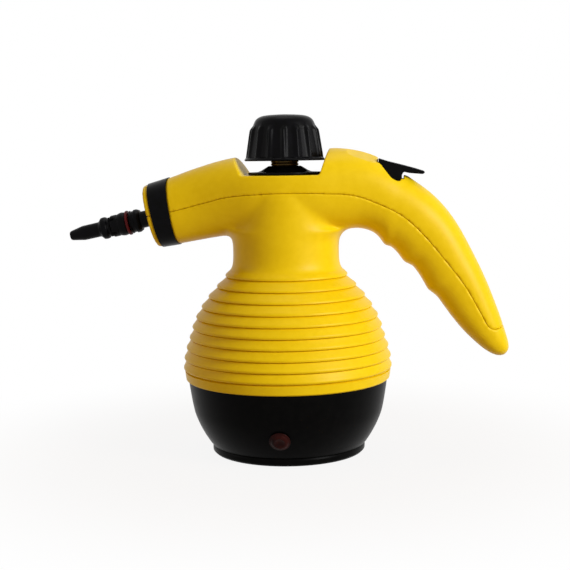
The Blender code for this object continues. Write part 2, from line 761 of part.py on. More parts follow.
def housing_holes():
    """The bores for the steam outlet, the filler neck, the plunger and the trigger's pin."""
    ends = (-OUTLET_LENGTH, OUTLET_LENGTH)
    outlet = upright("outlet_bore", (0, 0), *ends, SPOUT_BORE_RADIUS, "yellow_plastic", ROUND_SIDES)
    ends = (NECK_TOP, CAP_BOTTOM)
    radius = FILLER_OUTER_RADIUS + SEAT_GAP + PIN_CLEARANCE
    filler = upright("filler_hole", (0, 0), *ends, radius, "yellow_plastic", ROUND_SIDES)
    ends = (VALVE_TOP, WELL_FLOOR + OVERRUN)
    radius = PLUNGER_HEAD_RADIUS + SEAT_GAP
    plunger = upright("plunger_hole", (VALVE_X, 0), *ends, radius, "yellow_plastic", ROUND_SIDES)
    pin = crosswise("pin_hole", TRIGGER_HALF_WIDTH + PIN_SEAT, PIN_RADIUS + PIN_CLEARANCE, "yellow_plastic")
    return move(outlet, outlet_matrix()), filler, plunger, pin


def make_housing():
    """Both housing shells are cut from one hollow body, so their joint line always matches."""
    body = arm_loft("body", 0, len(ARM_STATION_SHARES) - 1, ARM_STEP)
    join(body, bulb_solid("bulb", 0, True, BULB_BOTTOM, FINE_SIDES), flare_solid("flare"))
    saddle = slab("saddle", saddle_outline(), HANDLE_LENGTH, "yellow_plastic")
    notch = slab("notch", shares_outline(NOTCH_SHARES), NECK_RADIUS + OVERRUN, "yellow_plastic")
    pocket = join(scoop_solid("scoop"), well_solid("well"), notch)
    cut(body, housing_hollow(), saddle, pocket, *housing_holes())
    first, last = collar_places()
    slack = SEAT_GAP / (COLLAR_WIDTH / (last - first))
    groove_depth = COLLAR_WALL - COLLAR_PROUD + SEAT_GAP
    cut(body, collar_band("groove", OVERRUN, groove_depth, (first - slack, last + slack), "yellow_plastic"))
    upper = copy_of(body, "upper_housing")
    apply_boolean(upper, above_seam("above", SEAM_GAP / 2), "INTERSECT")
    body.name = "lower_housing"
    body.data.name = "lower_housing"
    cut(body, above_seam("below", -SEAM_GAP / 2))
    collar_band("spout_collar", COLLAR_PROUD, COLLAR_WALL - COLLAR_PROUD, (first, last), "black_plastic")


def bowl_radius(share):
    """The base's outside radius at a share of its height."""
    for (low, first), (high, last) in zip(BOWL_SHARES, BOWL_SHARES[1:]):
        if share <= high:
            return (first + (last - first) * (share - low) / (high - low)) * BASE_RIM_RADIUS
    return BASE_RIM_RADIUS


def bowl_at(height):
    """The base's outside radius at a height."""
    return bowl_radius((height - BASE_BOWL_BOTTOM) / (BULB_BOTTOM - BASE_BOWL_BOTTOM))


def ring_places(count, radius, turned=0):
    """Places spaced evenly round the axis, turned on by a share of their spacing."""
    angles = [math.tau * (k + turned) / count for k in range(count)]
    return [(radius * math.cos(a), radius * math.sin(a)) for a in angles]


def facing_matrix(height, side):
    """Carries +Z onto the base's outward normal at a height, on the side of -Y or +Y."""
    step = RIB_DEPTH
    slope = (bowl_at(height + step) - bowl_at(height - step)) / (step + step)
    out = Vector((0, side, -slope)).normalized()
    place = Vector((0, side * bowl_at(height), height))
    return Matrix.Translation(place) @ out.to_track_quat("Z", "X").to_matrix().to_4x4()


def base_profile():
    """The bowl's wall: its outside, a tongue that fits in the yellow skirt, its inside and a floor ledge."""
    height = BULB_BOTTOM - SEAT_GAP - BASE_BOWL_BOTTOM
    top = BULB_BOTTOM - SEAT_GAP
    floor = BASE_BOWL_BOTTOM + SHELL_WALL
    tongue = bulb_radius(0) - RIB_DEPTH - SHELL_WALL - RIB_DEPTH
    tongue_top = BULB_BOTTOM + TONGUE_HEIGHT
    profile = [(LEDGE_RADIUS, BASE_BOWL_BOTTOM)]
    profile += [(bowl_radius(share), BASE_BOWL_BOTTOM + share * height) for share, _ in BOWL_SHARES]
    profile += [(tongue, top), (tongue, tongue_top), (tongue - SHELL_WALL / 2, tongue_top)]
    profile.append((tongue - SHELL_WALL / 2, top - SHELL_WALL))
    inside = BOWL_SHARES[3:-1:2][::-1]
    profile += [(bowl_radius(share) - SHELL_WALL, BASE_BOWL_BOTTOM + share * height) for share, _ in inside]
    return profile + [(bowl_radius(0) - SHELL_WALL, floor), (LEDGE_RADIUS, floor)]


def make_base():
    """The black bowl under the bulb, with bosses for the foot plate's screws."""
    shell = turn("base_shell", base_profile(), "black_plastic", BASE_SIDES)
    boss_low = BASE_BOWL_BOTTOM + SHELL_WALL / 2
    boss_top = BASE_BOWL_BOTTOM + BOSS_HEIGHT
    bore_top = SCREW_LENGTH + PLATE_THICKNESS + SEAT_GAP
    for place in ring_places(BASE_SCREW_COUNT, BASE_SCREW_CIRCLE_RADIUS, 1 / 4):
        join(shell, upright("boss", place, boss_low, boss_top, BOSS_RADIUS, "black_plastic"))
        cut(shell, upright("boss_bore", place, 0, bore_top, SCREW_SHANK_RADIUS + SEAT_GAP, "black_plastic"))
    for place in ring_places(BOILER_SCREW_COUNT, POST_CIRCLE_RADIUS, 1 / 2):
        cut(shell, upright("post_hole", place, 0, boss_top, POST_RADIUS + SEAT_GAP, "black_plastic"))
    for height, radius, side in ((INDICATOR_HEIGHT, LENS_RADIUS, -1), (GLAND_HEIGHT, GLAND_RADIUS, 1)):
        ends = (-LAMP_LENGTH, LAMP_LENGTH)
        bore = upright("wall_bore", (0, 0), *ends, radius + SEAT_GAP, "black_plastic", ROUND_SIDES)
        cut(shell, move(bore, facing_matrix(height, side)))


def make_base_plate():
    """The foot plate closes the base and carries the boiler on four posts."""
    top = BASE_BOWL_BOTTOM - SEAT_GAP
    low = FOOT_PROUD
    edge = BASE_FOOT_RADIUS
    step = PLATE_THICKNESS / 2
    profile = [
        (0, low), (edge - step, low), (edge, low + step), (edge, top - step), (edge - step / 2, top),
        (LEDGE_RADIUS, top), (LEDGE_RADIUS - step, low + PLATE_THICKNESS), (0, low + PLATE_THICKNESS),
    ]
    plate = turn("base_plate", profile, "black_plastic", BASE_SIDES)
    post_top = BOILER_SEAM - FLANGE_THICKNESS - SEAT_GAP
    for place in ring_places(BOILER_SCREW_COUNT, POST_CIRCLE_RADIUS, 1 / 2):
        join(plate, upright("post", place, low + step, post_top, POST_RADIUS, "black_plastic"))
    pocket_top = FOOT_HEIGHT + SEAT_GAP
    for place in ring_places(FOOT_COUNT, FOOT_CIRCLE_RADIUS):
        radius = FOOT_RADIUS + SEAT_GAP
        cut(plate, upright("foot_pocket", place, -OVERRUN, pocket_top, radius, "black_plastic", ROUND_SIDES))
    head_top = low + SCREW_HEAD_HEIGHT + SEAT_GAP
    for place in ring_places(BASE_SCREW_COUNT, BASE_SCREW_CIRCLE_RADIUS, 1 / 4):
        radius = SCREW_HEAD_RADIUS + SEAT_GAP
        cut(plate, upright("head_pocket", place, -OVERRUN, head_top, radius, "black_plastic", SCREW_SIDES))
        radius = SCREW_SHANK_RADIUS + SEAT_GAP
        cut(plate, upright("shank_hole", place, 0, top + OVERRUN, radius, "black_plastic"))
        screw("base_screw", place, low, 1)


def screw(stem, place, height, direction):
    """A pan-head screw with a slot; direction is +1 when its shank points up."""
    number = 1 + sum(item.name.startswith(stem + "_") for item in bpy.data.objects)
    head = SCREW_HEAD_HEIGHT * direction
    shank = (SCREW_LENGTH - SEAT_GAP) * direction
    half = SCREW_HEAD_RADIUS
    profile = [
        (0, 0), (half * SCREW_TOP_SHARE, 0), (half, head / 2), (half, head),
        (SCREW_SHANK_RADIUS, head), (SCREW_SHANK_RADIUS, shank), (0, shank),
    ]
    made = turn(f"{stem}_{number}", profile, "steel", SCREW_SIDES)
    outline = [(-half, -head), (half, -head), (half, head / 2), (-half, head / 2)]
    cut(made, slab("slot", outline, half * SCREW_SLOT_SHARE, "steel"))
    return move(made, Matrix.Translation((*place, height)))


def make_feet():
    """Four rubber feet in the plate's pockets."""
    edge = FOOT_PROUD / 2
    profile = [(0, 0), (FOOT_RADIUS - edge, 0), (FOOT_RADIUS, edge)]
    profile += [(FOOT_RADIUS, FOOT_HEIGHT), (0, FOOT_HEIGHT)]
    for number, place in enumerate(ring_places(FOOT_COUNT, FOOT_CIRCLE_RADIUS), 1):
        foot = turn(f"rubber_foot_{number}", profile, "soft_black", ROUND_SIDES)
        foot.location = (*place, 0)


def make_indicator():
    """A domed lens in the front of the base, with its lamp close behind it."""
    dome = LENS_FLANGE_THICKNESS * 2
    start = LENS_FLANGE_SEAT
    profile = [
        (0, -LENS_DEPTH), (LENS_RADIUS, -LENS_DEPTH), (LENS_RADIUS, start), (LENS_FLANGE_RADIUS, start),
        (LENS_FLANGE_RADIUS, start + LENS_FLANGE_THICKNESS / 2), (LENS_RADIUS, start + LENS_FLANGE_THICKNESS),
        (LENS_RADIUS * LENS_DOME_SHARE, start + dome), (0, start + dome + LENS_FLANGE_THICKNESS / 2),
    ]
    place = facing_matrix(INDICATOR_HEIGHT, -1)
    move(turn("indicator_lens", profile, "amber_lens"), place)
    back = -LENS_DEPTH - SEAT_GAP
    lamp_radius = LENS_RADIUS * LENS_DOME_SHARE
    lamp = [
        (0, back - LAMP_LENGTH), (lamp_radius / 2, back - LAMP_LENGTH), (lamp_radius, back - LAMP_LENGTH / 2),
        (lamp_radius, back), (0, back),
    ]
    move(turn("indicator_lamp", lamp, "ceramic", SCREW_SIDES), place)


def make_gland():
    """The cord's inlet at the back of the base: a flanged rubber bush with an open bore."""
    start = LENS_FLANGE_SEAT
    end = start + GLAND_FLANGE_THICKNESS
    profile = [
        (GLAND_BORE_RADIUS, -GLAND_LENGTH), (GLAND_RADIUS, -GLAND_LENGTH), (GLAND_RADIUS, start),
        (GLAND_FLANGE_RADIUS, start), (GLAND_FLANGE_RADIUS, end - GLAND_FLANGE_THICKNESS / 2),
        (GLAND_RADIUS, end), (GLAND_BORE_RADIUS + GLAND_FLANGE_THICKNESS / 2, end + GLAND_FLANGE_THICKNESS),
        (GLAND_BORE_RADIUS, end + GLAND_FLANGE_THICKNESS),
    ]
    move(turn("cord_gland", profile, "soft_black"), facing_matrix(GLAND_HEIGHT, 1))


def boiler_arc(wall_radius, corner):
    """A rounded corner between an upright wall and a flat end, as (radius, rise) pairs from the end out."""
    angles = [math.pi / 2 * k / BOILER_STEPS for k in range(BOILER_STEPS + 1)]
    return [(wall_radius - corner * (1 - math.sin(a)), corner * (1 - math.cos(a))) for a in angles]


def boiler_lower_profile():
    """The cast cup: a rounded bottom, an upright wall and a flange at the seam."""
    corner = BOILER_RADIUS * BOILER_CORNER_SHARE
    floor = BOILER_BOTTOM + BOILER_WALL
    inner_radius = BOILER_RADIUS - BOILER_WALL
    under = BOILER_SEAM - FLANGE_THICKNESS
    profile = [(0, BOILER_BOTTOM)]
    profile += [(radius, BOILER_BOTTOM + rise) for radius, rise in boiler_arc(BOILER_RADIUS, corner)]
    profile += [(BOILER_RADIUS, under), (FLANGE_RADIUS, under), (FLANGE_RADIUS, BOILER_SEAM)]
    profile.append((inner_radius, BOILER_SEAM))
    inside = boiler_arc(inner_radius, corner - BOILER_WALL)[::-1]
    return profile + [(radius, floor + rise) for radius, rise in inside] + [(0, floor)]


def boiler_upper_profile(bottom):
    """The domed lid, open at the filler bore, with a flange that matches the cup's."""
    dome = BOILER_RADIUS * DOME_CORNER_SHARE
    roof = BOILER_TOP - BOILER_WALL
    inner_radius = BOILER_RADIUS - BOILER_WALL
    top = bottom + FLANGE_THICKNESS
    profile = [(inner_radius, bottom), (FLANGE_RADIUS, bottom), (FLANGE_RADIUS, top), (BOILER_RADIUS, top)]
    profile += [(radius, BOILER_TOP - rise) for radius, rise in boiler_arc(BOILER_RADIUS, dome)[::-1]]
    profile += [(FILLER_BORE_RADIUS, BOILER_TOP), (FILLER_BORE_RADIUS, roof)]
    return profile + [(radius, roof - rise) for radius, rise in boiler_arc(inner_radius, dome - BOILER_WALL)]


def make_boiler():
    """Two cast halves with flanges, a gasket between them and screws down into the posts."""
    lower = turn("boiler_lower", boiler_lower_profile(), "aluminium")
    bottom = BOILER_SEAM + GASKET_THICKNESS + SEAT_GAP + SEAT_GAP
    upper = turn("boiler_upper", boiler_upper_profile(bottom), "aluminium")
    tap = upright(
        "steam_tap", (STEAM_TAP_X, 0), BOILER_TOP - BOILER_WALL - OVERRUN, BOILER_TOP + OVERRUN,
        PIPE_RADIUS + SEAT_GAP, "aluminium",
    )
    cut(upper, tap)
    low, high = BOILER_SEAM + SEAT_GAP, BOILER_SEAM + SEAT_GAP + GASKET_THICKNESS
    ring = [(BOILER_RADIUS - BOILER_WALL, low), (FLANGE_RADIUS, low)]
    ring += [(FLANGE_RADIUS, high), (BOILER_RADIUS - BOILER_WALL, high)]
    gasket = turn("boiler_gasket", ring, "silicone")
    top = bottom + FLANGE_THICKNESS
    plate = bpy.data.objects["base_plate"]
    for place in ring_places(BOILER_SCREW_COUNT, POST_CIRCLE_RADIUS, 1 / 2):
        ends = (top - SCREW_LENGTH, top + OVERRUN)
        for piece in (lower, upper, gasket, plate):
            cut(piece, upright("screw_hole", place, *ends, SCREW_SHANK_RADIUS + SEAT_GAP, "steel"))
        screw("boiler_screw", place, top + SEAT_GAP + SCREW_HEAD_HEIGHT, -1)


def heating_element():
    """A sheathed tube bent to an open ring, clipped under the boiler, with a pin down from each end."""
    height = BOILER_BOTTOM - SEAT_GAP - HEATER_TUBE_RADIUS
    path = []
    for k in range(HEATER_STEPS + 1):
        angle = HEATER_OPENING / 2 + (math.tau - HEATER_OPENING) * k / HEATER_STEPS
        ring = Vector((math.cos(angle), math.sin(angle), 0)) * HEATER_RING_RADIUS
        path.append(ring + Vector((0, 0, height)))
    element = sweep("heating_element", path, HEATER_TUBE_RADIUS, "steel", PIPE_SIDES)
    low = height - HEATER_TUBE_RADIUS - HEATER_PIN_LENGTH
    for end, neighbour in ((path[0], path[1]), (path[-1], path[-2])):
        foot = end + (neighbour - end).normalized() * HEATER_TUBE_RADIUS
        join(element, upright("pin", foot.xy, low, height, HEATER_PIN_RADIUS, "steel"))


def thermal_switch(name, x, radius, height):
    """A disc switch pressed against the boiler's underside: a wide cap over a narrower body."""
    top = BOILER_BOTTOM - SEAT_GAP
    step = top - height * SWITCH_CAP_SHARE
    body = radius * SWITCH_BODY_SHARE
    profile = [(0, top - height), (body, top - height), (body, step), (radius, step), (radius, top), (0, top)]
    turn(name, profile, "ceramic").location = (x, 0, 0)


def terminal_block():
    """A strip with one raised way for each wire, on the foot plate."""
    floor = FOOT_PROUD + PLATE_THICKNESS + SEAT_GAP
    half_length = TERMINAL_LENGTH / 2
    outline = [(-half_length, floor), (half_length, floor)]
    steps = TERMINAL_WAYS * 2 + 1
    for k in range(steps):
        right = half_length - TERMINAL_LENGTH * k / steps
        left = half_length - TERMINAL_LENGTH * (k + 1) / steps
        high = floor + TERMINAL_HEIGHT * (1 if k % 2 else TERMINAL_LOW_SHARE)
        outline += [(right, high), (left, high)]
    block = slab("terminal_block", outline, TERMINAL_WIDTH / 2, "ceramic")
    block.location = (0, TERMINAL_Y, 0)


def make_heating():
    """The sheathed element clipped under the boiler, the two thermal switches and the terminal block."""
    heating_element()
    thermal_switch("thermostat", THERMOSTAT_X, THERMOSTAT_RADIUS, THERMOSTAT_HEIGHT)
    thermal_switch("thermal_cutout", CUTOUT_X, CUTOUT_RADIUS, CUTOUT_HEIGHT)
    terminal_block()


def make_filler():
    """The brass neck that rises from the boiler to the cap, and the black tray round its mouth."""
    low = BOILER_TOP + SEAT_GAP
    collar_top = low + FILLER_COLLAR_HEIGHT
    profile = [
        (FILLER_BORE_RADIUS, low), (FILLER_COLLAR_RADIUS, low), (FILLER_COLLAR_RADIUS, collar_top),
        (FILLER_OUTER_RADIUS, collar_top + SEAT_GAP), (FILLER_OUTER_RADIUS, FILLER_TOP),
        (FILLER_BORE_RADIUS, FILLER_TOP),
    ]
    turn("filler_neck", profile, "brass")
    base = SADDLE_FLOOR + SEAT_GAP
    top = base + TRAY_THICKNESS
    rim_top = top + TRAY_RIM_HEIGHT
    rim_inside = TRAY_RADIUS - TRAY_THICKNESS
    hole = FILLER_OUTER_RADIUS + PIN_CLEARANCE
    boss_top = top + TRAY_BOSS_HEIGHT
    profile = [
        (hole, base), (TRAY_RADIUS, base), (TRAY_RADIUS, rim_top), (rim_inside, rim_top),
        (rim_inside - TRAY_RIM_HEIGHT, top), (TRAY_BOSS_BASE_RADIUS, top), (hole + TRAY_THICKNESS, boss_top),
        (hole, boss_top),
    ]
    turn("filler_funnel", profile, "black_plastic", BASE_SIDES, tray_reach)


def tray_reach(radius, height, angle):
    """Stretches the tray's rim from round to the long shape of the saddle's floor."""
    if radius < TRAY_BOSS_BASE_RADIUS + TRAY_RIM_HEIGHT:
        return radius
    return radius * (1 + TRAY_STRETCH_SHARE * math.sin(angle) ** 2)


def spring(name, radius, wire, turns, low, high, centre_x=0):
    """A compression spring: one unbroken helix between two heights."""
    count = turns * SPRING_TURN_POINTS
    path = []
    for k in range(count + 1):
        angle = math.tau * k / SPRING_TURN_POINTS
        height = low + wire + (high - low - wire - wire) * k / count
        path.append(Vector((centre_x + radius * math.cos(angle), radius * math.sin(angle), height)))
    return sweep(name, path, wire, "steel", SPRING_SIDES)


def fluted(radius, height, angle):
    """Draws the cap's skirt in between its flutes; the rim and the crown stay round."""
    low = CAP_BOTTOM + CAP_RIM_HEIGHT
    high = CAP_BOTTOM + CAP_HEIGHT * FLUTE_TOP_SHARE
    if radius < CAP_RADIUS * FLUTE_TOP_SHARE or not low <= height <= high:
        return radius
    wave = math.cos(CAP_FLUTES * angle)
    return radius - CAP_FLUTE_DEPTH * (1 - max(wave, 0) ** FLUTE_POWER)


def make_cap_seal():
    """The washer under the plug's head. Returns the height of its top."""
    low = FILLER_TOP + SEAT_GAP
    high = low + SEAL_THICKNESS
    hole = PLUG_SHANK_RADIUS + SEAT_GAP
    ring = [(hole, low), (SEAL_OUTER_RADIUS, low), (SEAL_OUTER_RADIUS, high), (hole, high)]
    turn("cap_seal", ring, "silicone")
    return high


def make_cap_plug(head_low):
    """The brass plug: a shank in the neck, a grooved head and a stem for the knob. Returns its head's top."""
    head_high = head_low + PLUG_HEAD_HEIGHT
    groove = PLUG_HEAD_HEIGHT / 4
    shank_low = head_low - PLUG_LENGTH
    waist = PLUG_HEAD_RADIUS - groove / 2
    profile = [
        (0, shank_low), (PLUG_SHANK_RADIUS - groove, shank_low), (PLUG_SHANK_RADIUS, shank_low + groove),
        (PLUG_SHANK_RADIUS, head_low), (PLUG_HEAD_RADIUS, head_low), (PLUG_HEAD_RADIUS, head_low + groove),
        (waist, head_low + groove), (waist, head_high - groove), (PLUG_HEAD_RADIUS, head_high - groove),
        (PLUG_HEAD_RADIUS, head_high), (PLUG_STEM_RADIUS, head_high), (PLUG_STEM_RADIUS, PLUG_STEM_TOP),
        (0, PLUG_STEM_TOP),
    ]
    turn("cap_plug", profile, "brass")
    return head_high


def make_cap_knob(hub_low):
    """The fluted knob: a hollow crown round a hub that slides on the plug's stem."""
    outside = [(radius * CAP_RADIUS, CAP_BOTTOM + share * CAP_HEIGHT) for share, radius in CAP_SHARES]
    step = CAP_FLUTE_DEPTH / 4
    flute_base = (outside[2][0] + step, CAP_BOTTOM + CAP_RIM_HEIGHT - step)
    hub_bore = PLUG_STEM_RADIUS + SEAT_GAP
    bore_top = PLUG_STEM_TOP + CAP_PRESS + SEAT_GAP
    hub_radius = CAP_SPRING_RADIUS + CAP_SPRING_WIRE_RADIUS
    roof = CAP_TOP - CAP_WALL - CAP_WALL
    shoulder = CAP_RADIUS * CAP_SHARES[5][1] - CAP_WALL
    profile = outside[:2] + [flute_base] + outside[2:] + [(0, CAP_TOP), (0, bore_top), (hub_bore, bore_top)]
    profile += [(hub_bore, hub_low), (hub_radius, hub_low), (hub_radius, roof), (shoulder - CAP_WALL, roof)]
    profile += [(shoulder, roof - CAP_WALL), (CAP_RADIUS - CAP_WALL, CAP_BOTTOM)]
    turn("cap_knob", profile, "black_plastic", CAP_FLUTES * FLUTE_SIDES, fluted)


def make_cap():
    """The safety cap: a washer, a brass plug and a sprung knob that is pressed down to turn the plug."""
    head_high = make_cap_plug(make_cap_seal() + SEAT_GAP)
    hub_low = head_high + CAP_SPRING_HEIGHT
    make_cap_knob(hub_low)
    spring_ends = (head_high + SEAT_GAP, hub_low - SEAT_GAP)
    spring("cap_spring", CAP_SPRING_RADIUS, CAP_SPRING_WIRE_RADIUS, CAP_SPRING_TURNS, *spring_ends)


def make_trigger():
    """The thumb lever, whose body hangs in its pocket on a cross pin."""
    lever = slab("trigger", shares_outline(TRIGGER_SHARES), TRIGGER_HALF_WIDTH, "black_plastic")
    bm = bmesh.new()
    bm.from_mesh(lever.data)
    round_from = HOUSING_TOP * TRIGGER_ROUND_FROM_SHARE
    long_edges = [edge for edge in bm.edges if abs(edge.verts[0].co.y - edge.verts[1].co.y) < SEAT_GAP]
    top_edges = [edge for edge in long_edges if min(vertex.co.z for vertex in edge.verts) > round_from]
    bmesh.ops.bevel(bm, geom=top_edges, offset=TRIGGER_ROUND, segments=2, affect="EDGES", profile=1 / 2)
    bm.to_mesh(lever.data)
    bm.free()
    shade(lever.data)
    cut(lever, crosswise("trigger_bore", TRIGGER_HALF_WIDTH + OVERRUN, PIN_RADIUS + PIN_CLEARANCE, "steel"))
    crosswise("trigger_pin", TRIGGER_HALF_WIDTH + PIN_SEAT - SEAT_GAP, PIN_RADIUS, "steel")
    pivot = Vector((PIVOT_X, 0, PIVOT_HEIGHT))
    move(lever, Matrix.Translation(-pivot))
    lever.location = pivot


def make_valve_body():
    """A brass block with a blind bore and a port at each pipe. Returns the height of the bore's end."""
    seat = VALVE_BOTTOM + SHELL_WALL
    bore = PLUNGER_RADIUS + SEAT_GAP
    edge = VALVE_RADIUS - PIPE_WALL
    profile = [
        (0, VALVE_BOTTOM), (edge, VALVE_BOTTOM), (VALVE_RADIUS, VALVE_BOTTOM + PIPE_WALL),
        (VALVE_RADIUS, VALVE_TOP - PIPE_WALL), (edge, VALVE_TOP), (bore, VALVE_TOP), (bore, seat), (0, seat),
    ]
    body = move(turn("valve_body", profile, "brass"), Matrix.Translation((VALVE_X, 0, 0)))
    for height in (INLET_HEIGHT, OUTLET_HEIGHT):
        start = (VALVE_X - VALVE_RADIUS - OVERRUN, 0, height)
        port_end = (VALVE_X - VALVE_RADIUS + PORT_DEPTH, 0, height)
        cut(body, rod("port", start, port_end, PIPE_RADIUS + SEAT_GAP, "brass", PIPE_SIDES))
        cut(body, rod("duct", start, (VALVE_X, 0, height), PLUNGER_RADIUS / 2, "brass", PIPE_SIDES))
    return seat


def make_plunger(stem_low):
    """The plunger, whose head lies under the trigger's foot, and the spring that lifts it."""
    head_top = TRIGGER_FOOT_SHARE * HOUSING_TOP - SEAT_GAP
    head_low = head_top - PLUNGER_HEAD_HEIGHT
    profile = [
        (0, stem_low), (PLUNGER_RADIUS, stem_low), (PLUNGER_RADIUS, head_low),
        (PLUNGER_HEAD_RADIUS, head_low), (PLUNGER_HEAD_RADIUS, head_top), (0, head_top),
    ]
    turn("valve_plunger", profile, "steel", SCREW_SIDES).location = (VALVE_X, 0, 0)
    ends = (VALVE_TOP + SEAT_GAP, head_low - SEAT_GAP)
    spring("valve_spring", VALVE_SPRING_RADIUS, VALVE_SPRING_WIRE_RADIUS, VALVE_SPRING_TURNS, *ends, VALVE_X)


def pipe(name, points):
    """A thin-walled steam pipe on a smooth way through its points."""
    count = (len(points) - 1) * PATH_STEPS
    way = [Vector(smooth_row(points, k / PATH_STEPS)) for k in range(count + 1)]
    sweep(name, way, PIPE_RADIUS, "aluminium", PIPE_SIDES, PIPE_RADIUS - PIPE_WALL)


def make_valve():
    """The steam valve under the trigger, its sprung plunger and the pipes on either side."""
    seat = make_valve_body()
    make_plunger(seat + PLUNGER_TRAVEL_ROOM)
    face = VALVE_X - VALVE_RADIUS - OVERRUN
    port = VALVE_X - VALVE_RADIUS + PORT_DEPTH - SEAT_GAP
    feed = [(STEAM_TAP_X, 0, BOILER_TOP - BOILER_WALL / 2)]
    feed += [(x * VALVE_X, 0, z * HOUSING_TOP) for x, z in FEED_SHARES]
    pipe("steam_pipe", feed + [(face, 0, INLET_HEIGHT), (port, 0, INLET_HEIGHT)])
    matrix = outlet_matrix()
    way = [(port, 0, OUTLET_HEIGHT), (face, 0, OUTLET_HEIGHT)]
    way += [(x * HANDLE_LENGTH, y * NECK_RADIUS, z * HOUSING_TOP) for x, y, z in OUTLET_SHARES]
    way.append(tuple(matrix @ Vector((0, 0, -OUTLET_LENGTH - PIPE_RADIUS - PIPE_RADIUS))))
    way.append(tuple(matrix @ Vector((0, 0, -OUTLET_LENGTH + PIPE_RADIUS))))
    pipe("outlet_pipe", way)


def make_connector(place, flange_low, flange_top, spigot_top):
    """A bored plug in the spout, a flange and a spigot. Returns the radius of a socket that fits the spigot."""
    spigot = RED_RING_RADIUS * SPIGOT_RADIUS_SHARE
    neck = RED_RING_RADIUS * OUTLET_NECK_SHARE
    chamfer = (flange_top - flange_low) / 4
    rim = RED_RING_RADIUS - chamfer / 4
    socket = PIPE_RADIUS + SEAT_GAP
    bore = PIPE_RADIUS - PIPE_WALL
    profile = [
        (socket, -OUTLET_LENGTH), (OUTLET_RADIUS, -OUTLET_LENGTH), (OUTLET_RADIUS, -SHELL_WALL / 2),
        (neck, 0), (neck, flange_low), (rim - chamfer / 4, flange_low), (rim, flange_low + chamfer),
        (rim, flange_top - chamfer), (RED_RING_RADIUS - chamfer, flange_top), (spigot, flange_top),
        (spigot, spigot_top), (bore, spigot_top), (bore, -OUTLET_LENGTH / 2), (socket, -OUTLET_LENGTH / 2),
    ]
    turn("outlet_connector", profile, "black_plastic").matrix_world = place
    return spigot + SEAT_GAP


def make_nozzle(place, length, start, socket, socket_top):
    """The jet nozzle: a socket over the spigot, a stepped body with lugs and a long taper to the tip."""
    outside = [(radius * RED_RING_RADIUS, share * length) for share, radius in NOZZLE_SHARES]
    outside[0] = (outside[0][0], start)
    profile = [(socket, start)] + outside
    profile += [(NOZZLE_BORE_RADIUS, length), (NOZZLE_BORE_RADIUS, socket_top), (socket, socket_top)]
    nozzle = turn("jet_nozzle", profile, "black_plastic")
    inner, outer, half = [share * RED_RING_RADIUS for share in LUG_SHARES]
    middle = length * NOZZLE_SHARES[4][0] + RED_RING_WIDTH + RED_RING_WIDTH
    outline = [(inner, -half), (outer, -half), (outer, half), (inner, half)]
    for k in range(NOZZLE_LUGS):
        spin = Matrix.Rotation(math.tau * k / NOZZLE_LUGS + math.pi / 4, 4, "Z")
        lug = slab("lug", outline, half / 2, "black_plastic")
        join(nozzle, move(lug, spin @ Matrix.Translation((0, 0, middle))))
    nozzle.matrix_world = place


def make_outlet():
    """The fixed steam outlet in the spout, the red seal on its spigot and the jet nozzle pushed over it."""
    place = outlet_matrix()
    length = JET_REACH / math.cos(SPOUT_SLOPE)
    ring_low = length * RED_RING_SHARE
    ring_high = ring_low + RED_RING_WIDTH
    spigot_top = length * SPIGOT_END_SHARE
    socket = make_connector(place, length * FLANGE_START_SHARE, ring_low - SEAT_GAP, spigot_top)
    soft = RED_RING_WIDTH / 4
    ring = [
        (socket, ring_low), (RED_RING_RADIUS - soft, ring_low), (RED_RING_RADIUS, ring_low + soft),
        (RED_RING_RADIUS, ring_high - soft), (RED_RING_RADIUS - soft, ring_high), (socket, ring_high),
    ]
    turn("nozzle_seal", ring, "red_seal").matrix_world = place
    make_nozzle(place, length, ring_high + SEAT_GAP, socket, spigot_top + SEAT_GAP)


def main():
    """Builds every piece, from the housing out to the nozzle."""
    clear_scene()
    make_housing()
    make_base()
    make_base_plate()
    make_feet()
    make_indicator()
    make_gland()
    make_boiler()
    make_heating()
    make_filler()
    make_cap()
    make_trigger()
    make_valve()
    make_outlet()


main()
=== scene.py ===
"""Looks for the handheld steam cleaner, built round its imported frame. Metres, +Z up."""
import json
import math

import bmesh
import bpy
import numpy as np
from mathutils import Matrix, Vector


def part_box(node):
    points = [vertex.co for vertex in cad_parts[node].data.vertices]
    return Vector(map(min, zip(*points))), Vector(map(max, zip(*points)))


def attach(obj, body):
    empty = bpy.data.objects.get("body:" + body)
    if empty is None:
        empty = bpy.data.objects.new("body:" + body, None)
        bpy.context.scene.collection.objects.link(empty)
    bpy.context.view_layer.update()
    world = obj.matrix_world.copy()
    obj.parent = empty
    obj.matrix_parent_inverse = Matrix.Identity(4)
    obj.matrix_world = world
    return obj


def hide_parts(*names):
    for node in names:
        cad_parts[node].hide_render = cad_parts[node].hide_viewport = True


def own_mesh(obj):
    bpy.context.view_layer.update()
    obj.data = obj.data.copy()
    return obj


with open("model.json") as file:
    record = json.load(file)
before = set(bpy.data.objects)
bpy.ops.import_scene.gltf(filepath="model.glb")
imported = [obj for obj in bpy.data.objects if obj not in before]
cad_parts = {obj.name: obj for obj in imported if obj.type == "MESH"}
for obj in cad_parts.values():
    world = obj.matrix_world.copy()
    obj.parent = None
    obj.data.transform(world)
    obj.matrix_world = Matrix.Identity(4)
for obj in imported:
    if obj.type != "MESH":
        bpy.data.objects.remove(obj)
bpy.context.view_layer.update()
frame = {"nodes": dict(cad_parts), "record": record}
SLOT_OF = {part["node"]: part["material_slot"] for part in frame["record"]["subparts"]}
BODY_OF = {name: body for body, names in frame["record"]["behaviour"]["bodies"].items() for name in names}

